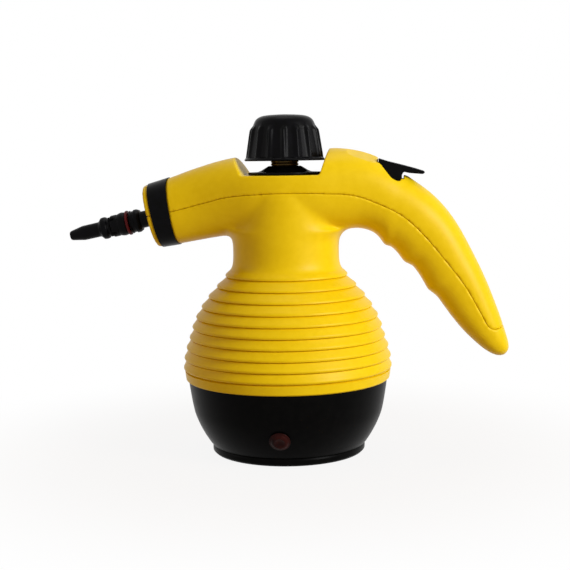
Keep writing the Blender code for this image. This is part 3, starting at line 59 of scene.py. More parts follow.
# Camera: distance from the boiler's axis, eye height, turn round the object, tilt and roll
CAMERA_DISTANCE = 0.802
CAMERA_HEIGHT = 0.200
CAMERA_TURN = math.radians(5.5)
CAMERA_PITCH = math.radians(6.23)
CAMERA_ROLL = math.radians(0.9)
FOCAL_PIXELS = 1200
IMAGE_PIXELS = 570
AXIS_OFFSET_PIXELS = 1.6
SENSOR_WIDTH_MM = 36

# Stage
FLOOR_SIZE = 12.0
FLOOR_NEAR = 0.10
FLOOR_FAR = 0.30
FLOOR_WHITE_SHARE = 0.90
FLOOR_COLOURS = ((0.46, 0.35, 0.25), (0.48, 0.37, 0.27))
FLOOR_PATCHES = 3
FLOOR_DETAIL = 2
FLOOR_ROUGHNESS = 0.9
BACKGROUND_STRENGTH = 1.0
AMBIENT_COLOUR = (0.28, 0.175, 0.09)

# Lights: name, place, size, power in watts
LIGHTS = (
    ("key", (1.44, -0.92, 0.78), 0.8, 26.0),
    ("fill", (-1.25, -0.20, 0.40), 0.6, 0.8),
    ("top", (0.00, 0.20, 1.40), 0.7, 2.6),
)
LIGHT_TARGET = (0.0, 0.0, 0.11)

# Materials: each slot's darkest and lightest colour, roughness, grains to a metre, and strength of the grain
FINISHES = {
    "yellow_shell": ((0.90, 0.655, 0.003), (0.93, 0.685, 0.006), (0.36, 0.44), 2600, 0.05),
    "black_trim": ((0.001, 0.001, 0.001), (0.002, 0.002, 0.003), (0.28, 0.38), 3000, 0.08),
    "black_base": ((0.001, 0.001, 0.001), (0.002, 0.002, 0.002), (0.28, 0.38), 2400, 0.05),
    "rubber": ((0.016, 0.016, 0.016), (0.026, 0.026, 0.026), (0.70, 0.85), 3400, 0.35),
    "silicone": ((0.50, 0.10, 0.06), (0.58, 0.13, 0.09), (0.50, 0.65), 2200, 0.15),
    "red_seal": ((0.08, 0.004, 0.006), (0.12, 0.006, 0.009), (0.40, 0.52), 2600, 0.12),
    "lens": ((0.008, 0.002, 0.002), (0.030, 0.005, 0.004), (0.24, 0.34), 1800, 0.05),
    "ceramic": ((0.70, 0.69, 0.65), (0.78, 0.77, 0.73), (0.50, 0.65), 2400, 0.20),
    # brass is kept far darker than bright brass: painted shade, for the shade under the cap where the neck and plug
    # show
    "brass": ((0.055, 0.034, 0.012), (0.12, 0.075, 0.026), (0.30, 0.46), 2200, 0.12),
    "aluminium": ((0.56, 0.56, 0.58), (0.66, 0.66, 0.68), (0.38, 0.52), 1800, 0.25),
    "steel": ((0.46, 0.46, 0.48), (0.55, 0.55, 0.57), (0.24, 0.36), 2600, 0.12),
}
SPECULAR_LEVELS = {"yellow_shell": 0.16, "black_trim": 0.055, "black_base": 0.03, "red_seal": 0.15, "lens": 0.05}
PLAIN_SPECULAR = 0.5
# The metals, and how many times finer the grain of each is along each axis
METAL_STRETCH = {"brass": (1, 1, 6), "aluminium": (1, 1, 1), "steel": (1, 1, 8)}
PATCH_GRAINS = 12
PATCH_DETAIL = 3
GRAIN_DETAIL = 4
GRAIN_DEPTH = 0.0001
RAMP_ENDS = (0.35, 0.65)

# The housing's sizes, as in the frame but for the skirt, the ribs and the neck's flare
SEAT_GAP = 0.0003
SHELL_WALL = 0.0025
OVERRUN = 0.004
BULB_RADIUS = 0.0695
NECK_RADIUS = 0.0355
BULB_BOTTOM = 0.047
BULB_TOP = 0.119
NECK_TOP = 0.170
SHOULDER_HEIGHT = 0.031
SKIRT_BOTTOM = 0.0501
SKIRT_TOP = 0.0569
RIB_COUNT = 9
RIB_PITCH = 0.00688
RIB_DEPTH = 0.0014
RIB_RELIEF = 0.0022
TOP_LIP_HEIGHT = 0.0037
NECK_FLARE_REACH = 0.0044
NECK_FLARE_HEIGHT = 0.0090
NECK_FLARE_STEPS = 10
HOUSING_TOP = 0.203
HANDLE_LENGTH = 0.147
SPOUT_REACH = 0.0905
ARM_HALF_WIDTH = 0.0345
FLARE_RADIUS = 0.011
FLARE_TOP = 0.151
GRIP_WAVE = 0.0012
SEAM_GAP = 0.0001
SEAM_STRIP_REACH = 0.0025
SECTION_POWER = 0.84
SADDLE_FLOOR = 0.1862
SADDLE_FRONT = 0.0265
SADDLE_REAR = 0.0252
SADDLE_FRONT_LEAN = 0.009
SADDLE_REAR_LEAN = 0.005
SADDLE_CORNER = 0.0010
SCOOP_SLOPE = 0.23
TRIGGER_HALF_WIDTH = 0.0130
WELL_FLOOR = 0.1755
WELL_FRONT = 0.0618
WELL_REAR = 0.0786
WELL_SIDE_GAP = 0.0004
SPOUT_SLOPE = math.radians(12)
SPOUT_AXIS_HEIGHT = 0.1588
SPOUT_BORE_RADIUS = 0.0085
OUTLET_LENGTH = 0.024
COLLAR_WIDTH = 0.0112
COLLAR_SETBACK = 0.0045
COLLAR_PROUD = 0.0006
COLLAR_WALL = 0.0012
FILLER_OUTER_RADIUS = 0.0110
PIVOT_X = 0.0680
PIVOT_HEIGHT = 0.1815
PIN_RADIUS = 0.0015
PIN_SEAT = 0.0026
VALVE_X = 0.0755
PLUNGER_HEAD_RADIUS = 0.0040

# The base's sizes, as in the frame; its posts, screws and feet stand at four corners each
CORNERS = 4
BASE_RIM_RADIUS = 0.0672
BASE_BOWL_BOTTOM = 0.0065
TONGUE_HEIGHT = 0.004
LEDGE_RADIUS = 0.0385
BOSS_RADIUS = 0.0035
BOSS_HEIGHT = 0.012
POST_RADIUS = 0.0036
POST_CIRCLE_RADIUS = 0.044
POST_TURN = math.pi / 4
PLATE_THICKNESS = 0.0028
SCREW_CIRCLE_RADIUS = 0.0435
SCREW_TURN = math.pi / 8
SCREW_FACE_SHARE = 0.7
SCREW_SLOT_SHARE = 1 / 6
SCREW_SHANK_RADIUS = 0.0014
SCREW_HEAD_HEIGHT = 0.0016
INDICATOR_HEIGHT = 0.0200
LENS_RADIUS = 0.0058
LENS_FLANGE_RADIUS = 0.0068
LENS_DEPTH = 0.0045
GLAND_HEIGHT = 0.0215
GLAND_RADIUS = 0.0062
GLAND_FLANGE_RADIUS = 0.0085
GLAND_BORE_RADIUS = 0.0036
GLAND_LENGTH = 0.009
GLAND_FLANGE_THICKNESS = 0.0018
FLANGE_SEAT = 0.0006

# The filler's, cap's and nozzle's sizes, as in the frame
FILLER_BORE_RADIUS = 0.0082
TRAY_THICKNESS = 0.0016
TRAY_STRETCH_SHARE = 0.16
TRAY_STRETCH_RISE = 4
PLUG_SHANK_RADIUS = 0.0066
PLUG_STEM_RADIUS = 0.0055
KNOB_HUB_RADIUS = 0.0080
KNOB_WALL = 0.0019
PLUG_THREADS = 7
PLUG_GROOVES = 3
KNOB_PRESS = 0.0025
# Springs: piece, node, radius of the wire, joint and travel
SPRINGS = (
    ("knob_spring", "cap_spring", 0.0006, "knob_press", KNOB_PRESS),
    ("plunger_spring", "valve_spring", 0.00045, "valve_slide", 0.00095),
)
SPRING_TURNS = 3
SPRING_TURN_POINTS = 24
SPRING_SIDES = 10
NOZZLE_LENGTH = 0.05776
OUTLET_RADIUS = 0.0079
PIPE_BORE_RADIUS = 0.0018
NOZZLE_BORE_RADIUS = 0.0012
SPIGOT_RADIUS = 0.00382
RED_RING_RADIUS = 0.0083
RED_RING_WIDTH = 0.0016

# How finely the visible pieces are made, and how rounded
ARM_SIDES = 112
ARM_STEP = 0.1
LATHE_SIDES = 160
SMALL_SIDES = 64
BAR_SIDES = 32
HOLLOW_SIDES = 48
BOWL_STEPS = 24
BOWL_FOOT_ROWS = 3
BOWL_LIP_ROWS = 2
DOME_STEPS = 6
FLARE_STEPS = 12
CORE_STEPS = 8
COLLAR_STEPS = 6
LEVER_ROUND = 0.0009
LEVER_ROUND_STEPS = 5
LUG_ROUND_STEPS = 3
BOSS_RISE_SHARE = 0.6
BOSS_FOOT_RADIUS = 0.0185
# Shares of the tray's radius and of the rise to its mouth, from the deck up
BOSS_SHARES = ((0.80, 0.02), (0.72, 0.10), (0.64, 0.28), (0.55, 0.60), (0.46, 0.92), (0.425, 1.00))
SEAM_STEPS = 8
SEAM_LOOK = 0.05
VOXEL = 0.0007
JUNCTION_LOW = 0.126
JUNCTION_HIGH = 0.170
JUNCTION_REACH = 0.056
JUNCTION_FADE = 0.010
JUNCTION_PASSES = 70
SURFACE_PASSES = 3
EDGE_PASSES = 2
CORNER_SHARE = 0.45
SHARP_ANGLE = math.radians(40)

# Shares of HANDLE_LENGTH (x), HOUSING_TOP (z) and ARM_HALF_WIDTH (width), from the spout's lip to the handle's tip
ARM_STATION_SHARES = (
    (-0.647, 0.887, -0.580, 0.685, 0.586),
    (-0.527, 0.913, -0.480, 0.696, 0.623),
    (-0.415, 0.941, -0.367, 0.710, 0.675),
    (-0.279, 0.969, -0.245, 0.723, 0.797),
    (-0.136, 0.985, -0.122, 0.732, 0.942),
    (0.000, 0.995, 0.000, 0.736, 1.000),
    (0.136, 1.000, 0.136, 0.738, 0.951),
    (0.259, 1.001, 0.259, 0.739, 0.841),
    (0.381, 0.983, 0.340, 0.741, 0.754),
    (0.476, 0.946, 0.408, 0.723, 0.696),
    (0.558, 0.906, 0.463, 0.682, 0.652),
    (0.673, 0.842, 0.517, 0.651, 0.609),
    (0.765, 0.761, 0.584, 0.600, 0.565),
    (0.850, 0.648, 0.654, 0.537, 0.530),
    (0.908, 0.557, 0.725, 0.471, 0.501),
    (0.958, 0.463, 0.796, 0.407, 0.464),
    (0.988, 0.397, 0.867, 0.357, 0.406),
    (1.002, 0.360, 0.912, 0.333, 0.333),
    (1.001, 0.341, 0.946, 0.322, 0.232),
    (0.990, 0.327, 0.969, 0.320, 0.101),
)
HOLLOW_STATIONS = (0.17, 17.0)
# Places in the table above, and shares of GRIP_WAVE: the finger waves rise slowly to a crest and drop off behind it
GRIP_SHARES = (
    (8.7, 0.0), (9.2, 0.2), (9.75, 1.0), (10.2, -1.0), (10.7, -0.4), (11.35, 1.0), (11.8, -1.0), (12.3, -0.4),
    (12.9, 1.0), (13.35, -0.6), (14.2, 0.0),
)
# Shares of HANDLE_LENGTH and HOUSING_TOP along the joint line
SEAM_SHARES = (
    (-0.700, 0.777), (-0.599, 0.792), (-0.480, 0.808), (-0.347, 0.832), (-0.219, 0.852), (0.000, 0.861),
    (0.173, 0.859), (0.316, 0.851), (0.424, 0.823), (0.524, 0.786), (0.614, 0.728), (0.708, 0.647),
    (0.803, 0.556), (0.867, 0.475), (0.912, 0.420), (0.970, 0.420), (1.080, 0.470),
)
# Shares of the bulb's height and of BULB_RADIUS
BULB_SHARES = (
    (0.00, 0.978), (0.10, 0.994), (0.18, 1.000), (0.28, 0.987), (0.38, 0.960), (0.48, 0.926),
    (0.58, 0.896), (0.68, 0.846), (0.78, 0.782), (0.88, 0.700), (1.00, 0.592), (1.10, 0.530),
)
# A rib's outside, as shares of its height and of RIB_RELIEF
RIB_PROFILE_SHARES = (
    (0.00, -1.00), (0.04, -0.35), (0.10, 0.06), (0.20, 0.26), (0.32, 0.24), (0.45, 0.02), (0.65, -0.22),
    (0.85, -0.42), (0.96, -0.55),
)
# Outlines of the scoop, the notch and the lever: shares of HANDLE_LENGTH and HOUSING_TOP
SCOOP_SHARES = (
    (0.2789, 1.0099), (0.2925, 1.0010), (0.3129, 0.9951), (0.3333, 0.9901), (0.3537, 0.9857), (0.3741, 0.9798),
    (0.3946, 0.9754), (0.4120, 0.9715), (0.4220, 0.9695), (0.4220, 1.3000), (0.2789, 1.3000),
)
NOTCH_SHARES = (
    (0.4215, 0.972), (0.4235, 0.962), (0.441, 0.942), (0.4585, 0.925), (0.481, 0.904), (0.500, 0.896),
    (0.515, 0.893), (0.5235, 0.896), (0.5245, 0.917), (0.548, 0.909), (0.575, 0.901), (0.580, 1.120), (0.4215, 1.120),
)
TRIGGER_SHARES = (
    (0.4235, 0.967), (0.466, 0.957), (0.535, 0.944), (0.588, 0.933), (0.626, 0.924), (0.629, 0.919),
    (0.620, 0.9145), (0.560, 0.9185), (0.536, 0.9225), (0.528, 0.914), (0.526, 0.877), (0.455, 0.877),
    (0.432, 0.920),
)
# Shares of the base's height and of BASE_RIM_RADIUS, from the foot up to the bulb
BOWL_SHARES = (
    (0.00, 0.775), (0.04, 0.791), (0.10, 0.815), (0.20, 0.852), (0.35, 0.898), (0.52, 0.938),
    (0.70, 0.962), (0.86, 0.978), (1.00, 0.990), (1.10, 0.996),
)
# The lens's dome: shares of LENS_RADIUS and of FLANGE_SEAT
LENS_SHARES = ((1.00, 0.5), (0.85, 2.0), (0.62, 3.0), (0.45, 2.0), (0.20, 1.4), (0.00, 1.4))
# The knob's outside up from its rim: shares of its height, of its radius between the ridges and on them,
# and how flat the faces between the ridges are
KNOB_SHARES = (
    (0.000, 0.975, 0.975, 0.0), (0.018, 1.000, 1.000, 0.0), (0.052, 0.980, 0.980, 0.0),
    (0.080, 0.938, 0.964, 0.8), (0.110, 0.928, 0.960, 1.0), (0.360, 0.876, 0.916, 1.0),
    (0.630, 0.816, 0.866, 1.0), (0.690, 0.800, 0.836, 1.0), (0.765, 0.772, 0.772, 0.5),
    (0.880, 0.705, 0.705, 0.0), (0.950, 0.590, 0.590, 0.0), (0.982, 0.400, 0.400, 0.0),
    (1.000, 0.000, 0.000, 0.0),
)
KNOB_FACE_ROW = 3
KNOB_SHOULDER_ROW = 8
KNOB_RIDGES = 16
KNOB_RIDGE_TURN = math.radians(3.8)
KNOB_RIDGE_POWER = 6
KNOB_ROW_STEPS = 4
KNOB_RIDGE_SIDES = 26
# Shares of the length in front of the spout's lip and of RED_RING_RADIUS, along the nozzle's outside
NOZZLE_SHARES = (
    (0.318, 0.900), (0.350, 0.960), (0.392, 0.900), (0.400, 0.840), (0.412, 0.880), (0.480, 0.880),
    (0.495, 0.700), (0.525, 0.700), (0.535, 0.840), (0.560, 0.900), (0.600, 0.880), (0.622, 0.690),
    (0.640, 0.600), (0.840, 0.590), (0.860, 0.560), (0.980, 0.390), (1.000, 0.330),
)
FLANGE_START_SHARE = 0.13
RED_RING_SHARE = 0.270
SPIGOT_END_SHARE = 0.52
OUTLET_NECK_SHARE = 0.68
LUG_SHARES = (0.70, 1.02, 0.22)
LUG_ROW = 4
NOZZLE_LUGS = 4


def feed(target, **inputs):
    """Sets a shader node's inputs by name, each to a value or linked to another node's output."""
    for name, value in inputs.items():
        socket = target.inputs[name.replace("_", " ")]
        if isinstance(value, bpy.types.NodeSocket):
            target.id_data.links.new(value, socket)
        else:
            socket.default_value = value
    return target


def node(tree, kind, **inputs):
    return feed(tree.nodes.new(kind), **inputs)


def new_material(name):
    made = bpy.data.materials.new(name)
    made.use_nodes = True
    return made, made.node_tree, made.node_tree.nodes["Principled BSDF"]


def noise(tree, scale, detail, stretch=(1, 1, 1)):
    """Noise in the object's own metres, finer along an axis for a turned or brushed grain."""
    place = node(tree, "ShaderNodeTexCoord").outputs["Object"]
    mapping = node(tree, "ShaderNodeMapping", Scale=stretch, Vector=place)
    return node(tree, "ShaderNodeTexNoise", Scale=scale, Detail=detail, Vector=mapping.outputs["Vector"]).outputs["Fac"]


def colour_between(tree, source, *colours):
    """A colour that follows a noise from the first of two colours to the second."""
    ramp = node(tree, "ShaderNodeValToRGB", Fac=source)
    for element, place, colour in zip(ramp.color_ramp.elements, RAMP_ENDS, colours):
        element.position = place
        element.color = (*colour, 1)
    return ramp.outputs["Color"]


def finish(name, low, high, roughness, grain, strength):
    """A surface with mottled colour, uneven gloss and a fine grain."""
    made, tree, shader = new_material(name)
    stretch = METAL_STRETCH.get(name, (1, 1, 1))
    patches = noise(tree, grain / PATCH_GRAINS, PATCH_DETAIL, stretch)
    fine = noise(tree, grain, GRAIN_DETAIL, stretch)
    gloss = node(tree, "ShaderNodeMapRange", Value=patches, To_Min=roughness[0], To_Max=roughness[1])
    relief = node(tree, "ShaderNodeBump", Strength=strength, Distance=GRAIN_DEPTH, Height=fine)
    feed(shader, Base_Color=colour_between(tree, patches, low, high), Roughness=gloss.outputs["Result"])
    feed(shader, Normal=relief.outputs["Normal"], Metallic=float(name in METAL_STRETCH))
    feed(shader, Specular_IOR_Level=SPECULAR_LEVELS.get(name, PLAIN_SPECULAR))
    return made


def shade(mesh):
    mesh.shade_smooth()
    mesh.set_sharp_from_angle(angle=SHARP_ANGLE)


def link(name, data):
    made = bpy.data.objects.new(name, data)
    bpy.context.scene.collection.objects.link(made)
    return made


def make_object(name, bm):
    bmesh.ops.recalc_face_normals(bm, faces=bm.faces)
    mesh = bpy.data.meshes.new(name)
    bm.to_mesh(mesh)
    bm.free()
    shade(mesh)
    return link(name, mesh)


def polar(radius, angle, height):
    """A place by its distance and angle round the Z axis, and its height."""
    return Vector((radius * math.cos(angle), radius * math.sin(angle), height))


def ring_at(height, radius, count, turned=0):
    """Points spaced evenly round the Z axis."""
    return [polar(radius, math.tau * k / count + turned, height) for k in range(count)]


def bridge(bm, lower, upper):
    """Faces between two rings of points; a ring of one point is a pole."""
    count = max(len(lower), len(upper))
    for k in range(count):
        after = (k + 1) % count
        corners = [lower[k % len(lower)], lower[after % len(lower)], upper[after % len(upper)], upper[k % len(upper)]]
        unlike = list(dict.fromkeys(corners))
        if len(unlike) > 2:
            bm.faces.new(unlike)


def turn(name, profile, sides=LATHE_SIDES, radius_at=None):
    """A turned solid: the closed (radius, height) profile goes once round the Z axis."""
    rings = []
    for radius, height in profile:
        ring = []
        for k in range(sides if radius > 0 else 1):
            angle = math.tau * k / sides
            reach = radius_at(radius, angle) if radius_at else radius
            ring.append(polar(reach, angle, height))
        rings.append(ring)
    return loft(name, rings, ends=False)


def loft(name, sections, ends=True):
    """A solid through rings of points, with flat ends; without ends, its last ring joins its first."""
    bm = bmesh.new()
    rings = [[bm.verts.new(point) for point in section] for section in sections]
    for lower, upper in zip(rings, rings[1:] if ends else rings[1:] + rings[:1]):
        bridge(bm, lower, upper)
    if ends:
        bm.faces.new(rings[0])
        bm.faces.new(rings[-1])
    return make_object(name, bm)


def slab(name, outline, half_width=HANDLE_LENGTH):
    """An (x, z) outline carried to either side along Y, past the whole object unless a width is given."""
    return loft(name, [[Vector((x, side, z)) for x, z in outline] for side in (-half_width, half_width)])


def rod(name, start, end, radius, sides=SMALL_SIDES):
    """A round bar between two points."""
    start, end = Vector(start), Vector(end)
    turned = (end - start).to_track_quat("Z", "Y").to_matrix()
    return loft(name, [[centre + turned @ point for point in ring_at(0, radius, sides)] for centre in (start, end)])


def move(obj, matrix):
    obj.data.transform(matrix)
    return obj


def aimed(place, outward, upward_axis):
    """Carries +Z onto a direction, from a place."""
    return Matrix.Translation(place) @ outward.to_track_quat("Z", upward_axis).to_matrix().to_4x4()


def apply_modifier(obj, kind, **settings):
    modifier = obj.modifiers.new(kind.lower(), kind)
    for name, value in settings.items():
        setattr(modifier, name, value)
    graph = bpy.context.evaluated_depsgraph_get()
    result = bpy.data.meshes.new_from_object(obj.evaluated_get(graph))
    obj.modifiers.clear()
    old = obj.data
    obj.data = result
    bpy.data.meshes.remove(old)


def boolean(target, tool, operation):
    apply_modifier(target, "BOOLEAN", operation=operation, object=tool, solver="MANIFOLD")
    bpy.data.objects.remove(tool, do_unlink=True)
    shade(target.data)


def cut(target, *tools):
    for tool in tools:
        boolean(target, tool, "DIFFERENCE")
    return target


def join(target, *tools):
    for tool in tools:
        boolean(target, tool, "UNION")
    return target


def remesh(obj):
    apply_modifier(obj, "REMESH", mode="VOXEL", voxel_size=VOXEL, use_smooth_shade=True)


def relax(obj, passes, weight_at=None):
    """Smooths a mesh by moving each point part of the way to its neighbours' mean, by a weight for its place."""
    mesh = obj.data
    points = np.empty(len(mesh.vertices) * 3)
    mesh.vertices.foreach_get("co", points)
    points = points.reshape(-1, 3)
    edges = np.empty(len(mesh.edges) * 2, np.int64)
    mesh.edges.foreach_get("vertices", edges)
    edges = edges.reshape(-1, 2)
    ends = np.concatenate([edges[:, 0], edges[:, 1]])
    others = np.concatenate([edges[:, 1], edges[:, 0]])
    count = np.bincount(ends, minlength=len(points))
    weight = weight_at(points)[:, None] / 2 if weight_at else 1 / 2
    for _ in range(passes):
        mean = np.stack([np.bincount(ends, points[others, k], len(points)) for k in range(3)], 1) / count[:, None]
        points = points + (mean - points) * weight
    mesh.vertices.foreach_set("co", points.reshape(-1))
    mesh.update()


def smooth_row(table, place):
    """A row between the rows of a table, on a smooth curve through them."""
    last = len(table) - 1
    k = min(max(math.floor(place), 0), last - 1)
    t = place - k
    rows = [table[min(max(k + step, 0), last)] for step in (-1, 0, 1, 2)]
    mixed = []
    for a, b, c, d in zip(*rows):
        mixed.append(b + (c - a + (a + a - 5 * b + 4 * c - d + (3 * (b - c) + d - a) * t) * t) * t / 2)
    return mixed


def between(table, share):
    """The second column of a table at a share of its first, on a smooth curve."""
    k = sum(share > row[0] for row in table[1:-1])
    (x0, y0), (x1, y1) = table[k], table[k + 1]
    before, after = table[max(k - 1, 0)], table[min(k + 2, len(table) - 1)]
    slope0 = (y1 - before[1]) / (x1 - before[0])
    slope1 = (after[1] - y0) / (after[0] - x0)
    width = x1 - x0
    t = (share - x0) / width
    start = (1 + 2 * t) * (1 - t) ** 2 * y0 + t * (1 - t) ** 2 * width * slope0
    end = t * t * (3 - 2 * t) * y1 + t * t * (t - 1) * width * slope1
    return start + end


def soften(profile, radius, steps=4):
    """Rounds the corners of a closed profile; points on the axis stay."""
    rounded = []
    for k, point in enumerate(profile):
        here, back, ahead = Vector(point), Vector(profile[k - 1]), Vector(profile[(k + 1) % len(profile)])
        if here.x <= 0:
            rounded.append(tuple(here))
            continue
        reach_back = min(radius, (back - here).length * CORNER_SHARE)
        reach_ahead = min(radius, (ahead - here).length * CORNER_SHARE)
        start = here + (back - here).normalized() * reach_back
        end = here + (ahead - here).normalized() * reach_ahead
        for step in range(steps + 1):
            t = step / steps
            rounded.append(tuple(start * (1 - t) ** 2 + here * 2 * t * (1 - t) + end * t * t))
    return rounded


def arm_section(place, inset=0, sides=ARM_SIDES):
    """The T-shaped housing's section at a place in the station table, drawn in by inset."""
    top_x, top_z, low_x, low_z, width = smooth_row(ARM_STATION_SHARES, place)
    top = Vector((top_x * HANDLE_LENGTH, 0, top_z * HOUSING_TOP))
    low = Vector((low_x * HANDLE_LENGTH, 0, low_z * HOUSING_TOP))
    up = (top - low).normalized()
    places, shares = zip(*GRIP_SHARES)
    low = low - up * (GRIP_WAVE * float(np.interp(place, places, shares)))
    centre = (top + low) / 2
    half_height = (top - low).length / 2 - inset
    half_width = width * ARM_HALF_WIDTH - inset
    ring = []
    for k in range(sides):
        angle = math.tau * k / sides
        parts = (math.cos(angle), math.sin(angle))
        across, along = (math.copysign(abs(part) ** SECTION_POWER, part) for part in parts)
        ring.append(centre + up * half_height * along + Vector((0, half_width * across, 0)))
    return ring


def arm_loft(name, first, last, step, inset=0, sides=ARM_SIDES):
    """The arms between two places in the station table, as one solid."""
    count = round((last - first) / step)
    places = [first + (last - first) * k / count for k in range(count + 1)]
    return loft(name, [arm_section(place, inset, sides) for place in places])


def bulb_radius_at(height):
    return between(BULB_SHARES, (height - BULB_BOTTOM) / (BULB_TOP - BULB_BOTTOM)) * BULB_RADIUS


def quarter_turn(steps):
    return [math.pi / 2 * k / steps for k in range(steps + 1)]


def neck_solid():
    """The round neck, from inside the topmost lip of the ribs up to a dome inside the arms."""
    foot = BULB_TOP + TOP_LIP_HEIGHT - RIB_DEPTH / 2
    profile = [(0, BULB_TOP), (NECK_RADIUS + NECK_FLARE_REACH, BULB_TOP)]
    for angle in quarter_turn(NECK_FLARE_STEPS):
        reach = NECK_RADIUS + NECK_FLARE_REACH * (1 - math.sin(angle))
        profile.append((reach, foot + NECK_FLARE_HEIGHT * (1 - math.cos(angle))))
    for angle in quarter_turn(DOME_STEPS)[:-1]:
        reach = NECK_RADIUS * math.cos(angle) ** SECTION_POWER
        profile.append((reach, NECK_TOP + SHOULDER_HEIGHT * math.sin(angle)))
    return turn("neck", profile + [(0, NECK_TOP + SHOULDER_HEIGHT)])


def flare_solid():
    """The hollow sweep that leads the round neck out into both arms."""
    sections = []
    start = FLARE_TOP - FLARE_RADIUS
    neck = NECK_RADIUS - SEAT_GAP
    for angle in quarter_turn(FLARE_STEPS):
        spread = FLARE_RADIUS * (1 - math.cos(angle))
        height = start + FLARE_RADIUS * math.sin(angle)
        angles = [math.tau * side / LATHE_SIDES for side in range(LATHE_SIDES)]
        sections.append([Vector(((neck + spread) * math.cos(a), neck * math.sin(a), height)) for a in angles])
    return loft("flare", sections)


def junction_weight(points):
    """1 where the neck meets the arms, fading to 0 round it."""
    x, z = np.abs(points[:, 0]), points[:, 2]
    inside = np.minimum(np.minimum(z - JUNCTION_LOW, JUNCTION_HIGH - z), JUNCTION_REACH - x)
    return np.clip(inside / JUNCTION_FADE, 0, 1)


def saddle_outline(grow=0):
    """The cut under the cap: a level floor between two leaning walls."""
    front, rear, floor = -SADDLE_FRONT - grow, SADDLE_REAR + grow, SADDLE_FLOOR - grow
    corner = SADDLE_CORNER
    high = HOUSING_TOP + HOUSING_TOP / 8
    slope = (high - floor) / (HOUSING_TOP - SADDLE_FLOOR)
    return [
        (front + corner, floor), (rear - corner, floor), (rear, floor + corner),
        (rear + SADDLE_REAR_LEAN * slope, high), (front - SADDLE_FRONT_LEAN * slope, high), (front, floor + corner),
    ]


def shares_outline(shares):
    """A table of shares as (x, z) places."""
    return [(x * HANDLE_LENGTH, z * HOUSING_TOP) for x, z in shares]


def scoop_solid(grow=0):
    """The thumb scoop behind the saddle, sloping down towards the side that faces -Y."""
    outline = [(x, z - grow) for x, z in shares_outline(SCOOP_SHARES)]
    slope = Matrix(((1, 0, 0, 0), (0, 1, 0, 0), (0, SCOOP_SLOPE, 1, 0), (0, 0, 0, 1)))
    return move(slab("scoop", outline, NECK_RADIUS + OVERRUN), slope)


def well_solid(grow=0):
    """The deep part of the lever's pocket."""
    front, rear, floor = WELL_FRONT - grow, WELL_REAR + grow, WELL_FLOOR - grow
    high = HOUSING_TOP + OVERRUN
    outline = [(front, high), (front, floor), (rear, floor), (rear, high)]
    return slab("well", outline, TRIGGER_HALF_WIDTH + WELL_SIDE_GAP + grow)


def seam_outline(shift):
    """The joint line between the shells, moved square to itself, closed over the top."""
    table = shares_outline(SEAM_SHARES)
    last = len(table) - 1
    line = []
    for k in range(last * SEAM_STEPS + 1):
        place = k / SEAM_STEPS
        here = Vector(smooth_row(table, place))
        ahead = Vector(smooth_row(table, min(place + SEAM_LOOK, last)))
        behind = Vector(smooth_row(table, max(place - SEAM_LOOK, 0)))
        along = (ahead - behind).normalized()
        line.append((here.x - along.y * shift, here.y + along.x * shift))
    high = HOUSING_TOP + HOUSING_TOP
    return line + [(line[-1][0], high), (line[0][0], high)]


def outlet_matrix():
    """Carries +Z onto the spout's outward axis, from the middle of the spout's lip."""
    outward = Vector((-math.cos(SPOUT_SLOPE), 0, -math.sin(SPOUT_SLOPE)))
    return aimed((-SPOUT_REACH, 0, SPOUT_AXIS_HEIGHT), outward, "Y")


def collar_places():
    """Where the collar starts and ends, in places of the station table."""
    front, behind = (sum(arm_section(place), Vector()) / ARM_SIDES for place in (0, 1))
    step = (behind - front).length
    return COLLAR_SETBACK / step, (COLLAR_SETBACK + COLLAR_WIDTH) / step


def collar_band(name, outset, inset, places):
    """A band round the spout, between two insets from the housing's outside."""
    first, last = places
    stations = [first + (last - first) * k / COLLAR_STEPS for k in range(COLLAR_STEPS + 1)]
    outer = [arm_section(place, -outset) for place in stations]
    inner = [arm_section(place, inset) for place in stations]
    return loft(name, outer + inner[::-1], ends=False)


def housing_top():
    """The moulded T: arms and neck run into one another with soft hollows."""
    top = arm_loft("arms", 0, len(ARM_STATION_SHARES) - 1, ARM_STEP)
    join(top, neck_solid(), flare_solid())
    remesh(top)
    relax(top, JUNCTION_PASSES, junction_weight)
    relax(top, SURFACE_PASSES)
    return top


def ribbed_bulb():
    """The bulb as a turned shell: a plain skirt, the ribs, and a last low lip round the neck."""
    outside = [(bulb_radius_at(SKIRT_BOTTOM) - RIB_DEPTH / 2, SKIRT_BOTTOM)]
    for place in (SKIRT_BOTTOM + RIB_DEPTH / 2, SKIRT_TOP - RIB_DEPTH / 2):
        outside.append((bulb_radius_at(place), place))
    top = BULB_TOP + TOP_LIP_HEIGHT
    for rib in range(RIB_COUNT + 1):
        for share, proud in RIB_PROFILE_SHARES:
            place = SKIRT_TOP + rib * RIB_PITCH + share * RIB_PITCH
            if place < top - RIB_DEPTH / 2:
                outside.append((bulb_radius_at(place) + proud * RIB_RELIEF, place))
    outside.append((bulb_radius_at(top) - RIB_DEPTH / 2, top))
    inside = []
    for k in range(BOWL_STEPS + 1):
        place = top + (SKIRT_BOTTOM - top) * k / BOWL_STEPS
        inside.append((bulb_radius_at(place) - SHELL_WALL - RIB_RELIEF, place))
    return turn("bulb", outside + inside)


def seam_strip():
    """A thin strip behind the joint line, so that no light passes between the shells."""
    first, last = HOLLOW_STATIONS
    inner = SHELL_WALL + SEAT_GAP * 3
    outer = SHELL_WALL + SEAT_GAP / 3
    strip = arm_loft("strip", first + ARM_STEP, last - ARM_STEP, ARM_STEP * 2, outer, SMALL_SIDES)
    cut(strip, arm_loft("core", first, last, ARM_STEP * 2, inner, SMALL_SIDES))
    boolean(strip, slab("band", seam_outline(-SEAM_STRIP_REACH)), "INTERSECT")
    return cut(strip, slab("over", seam_outline(SEAM_STRIP_REACH)))


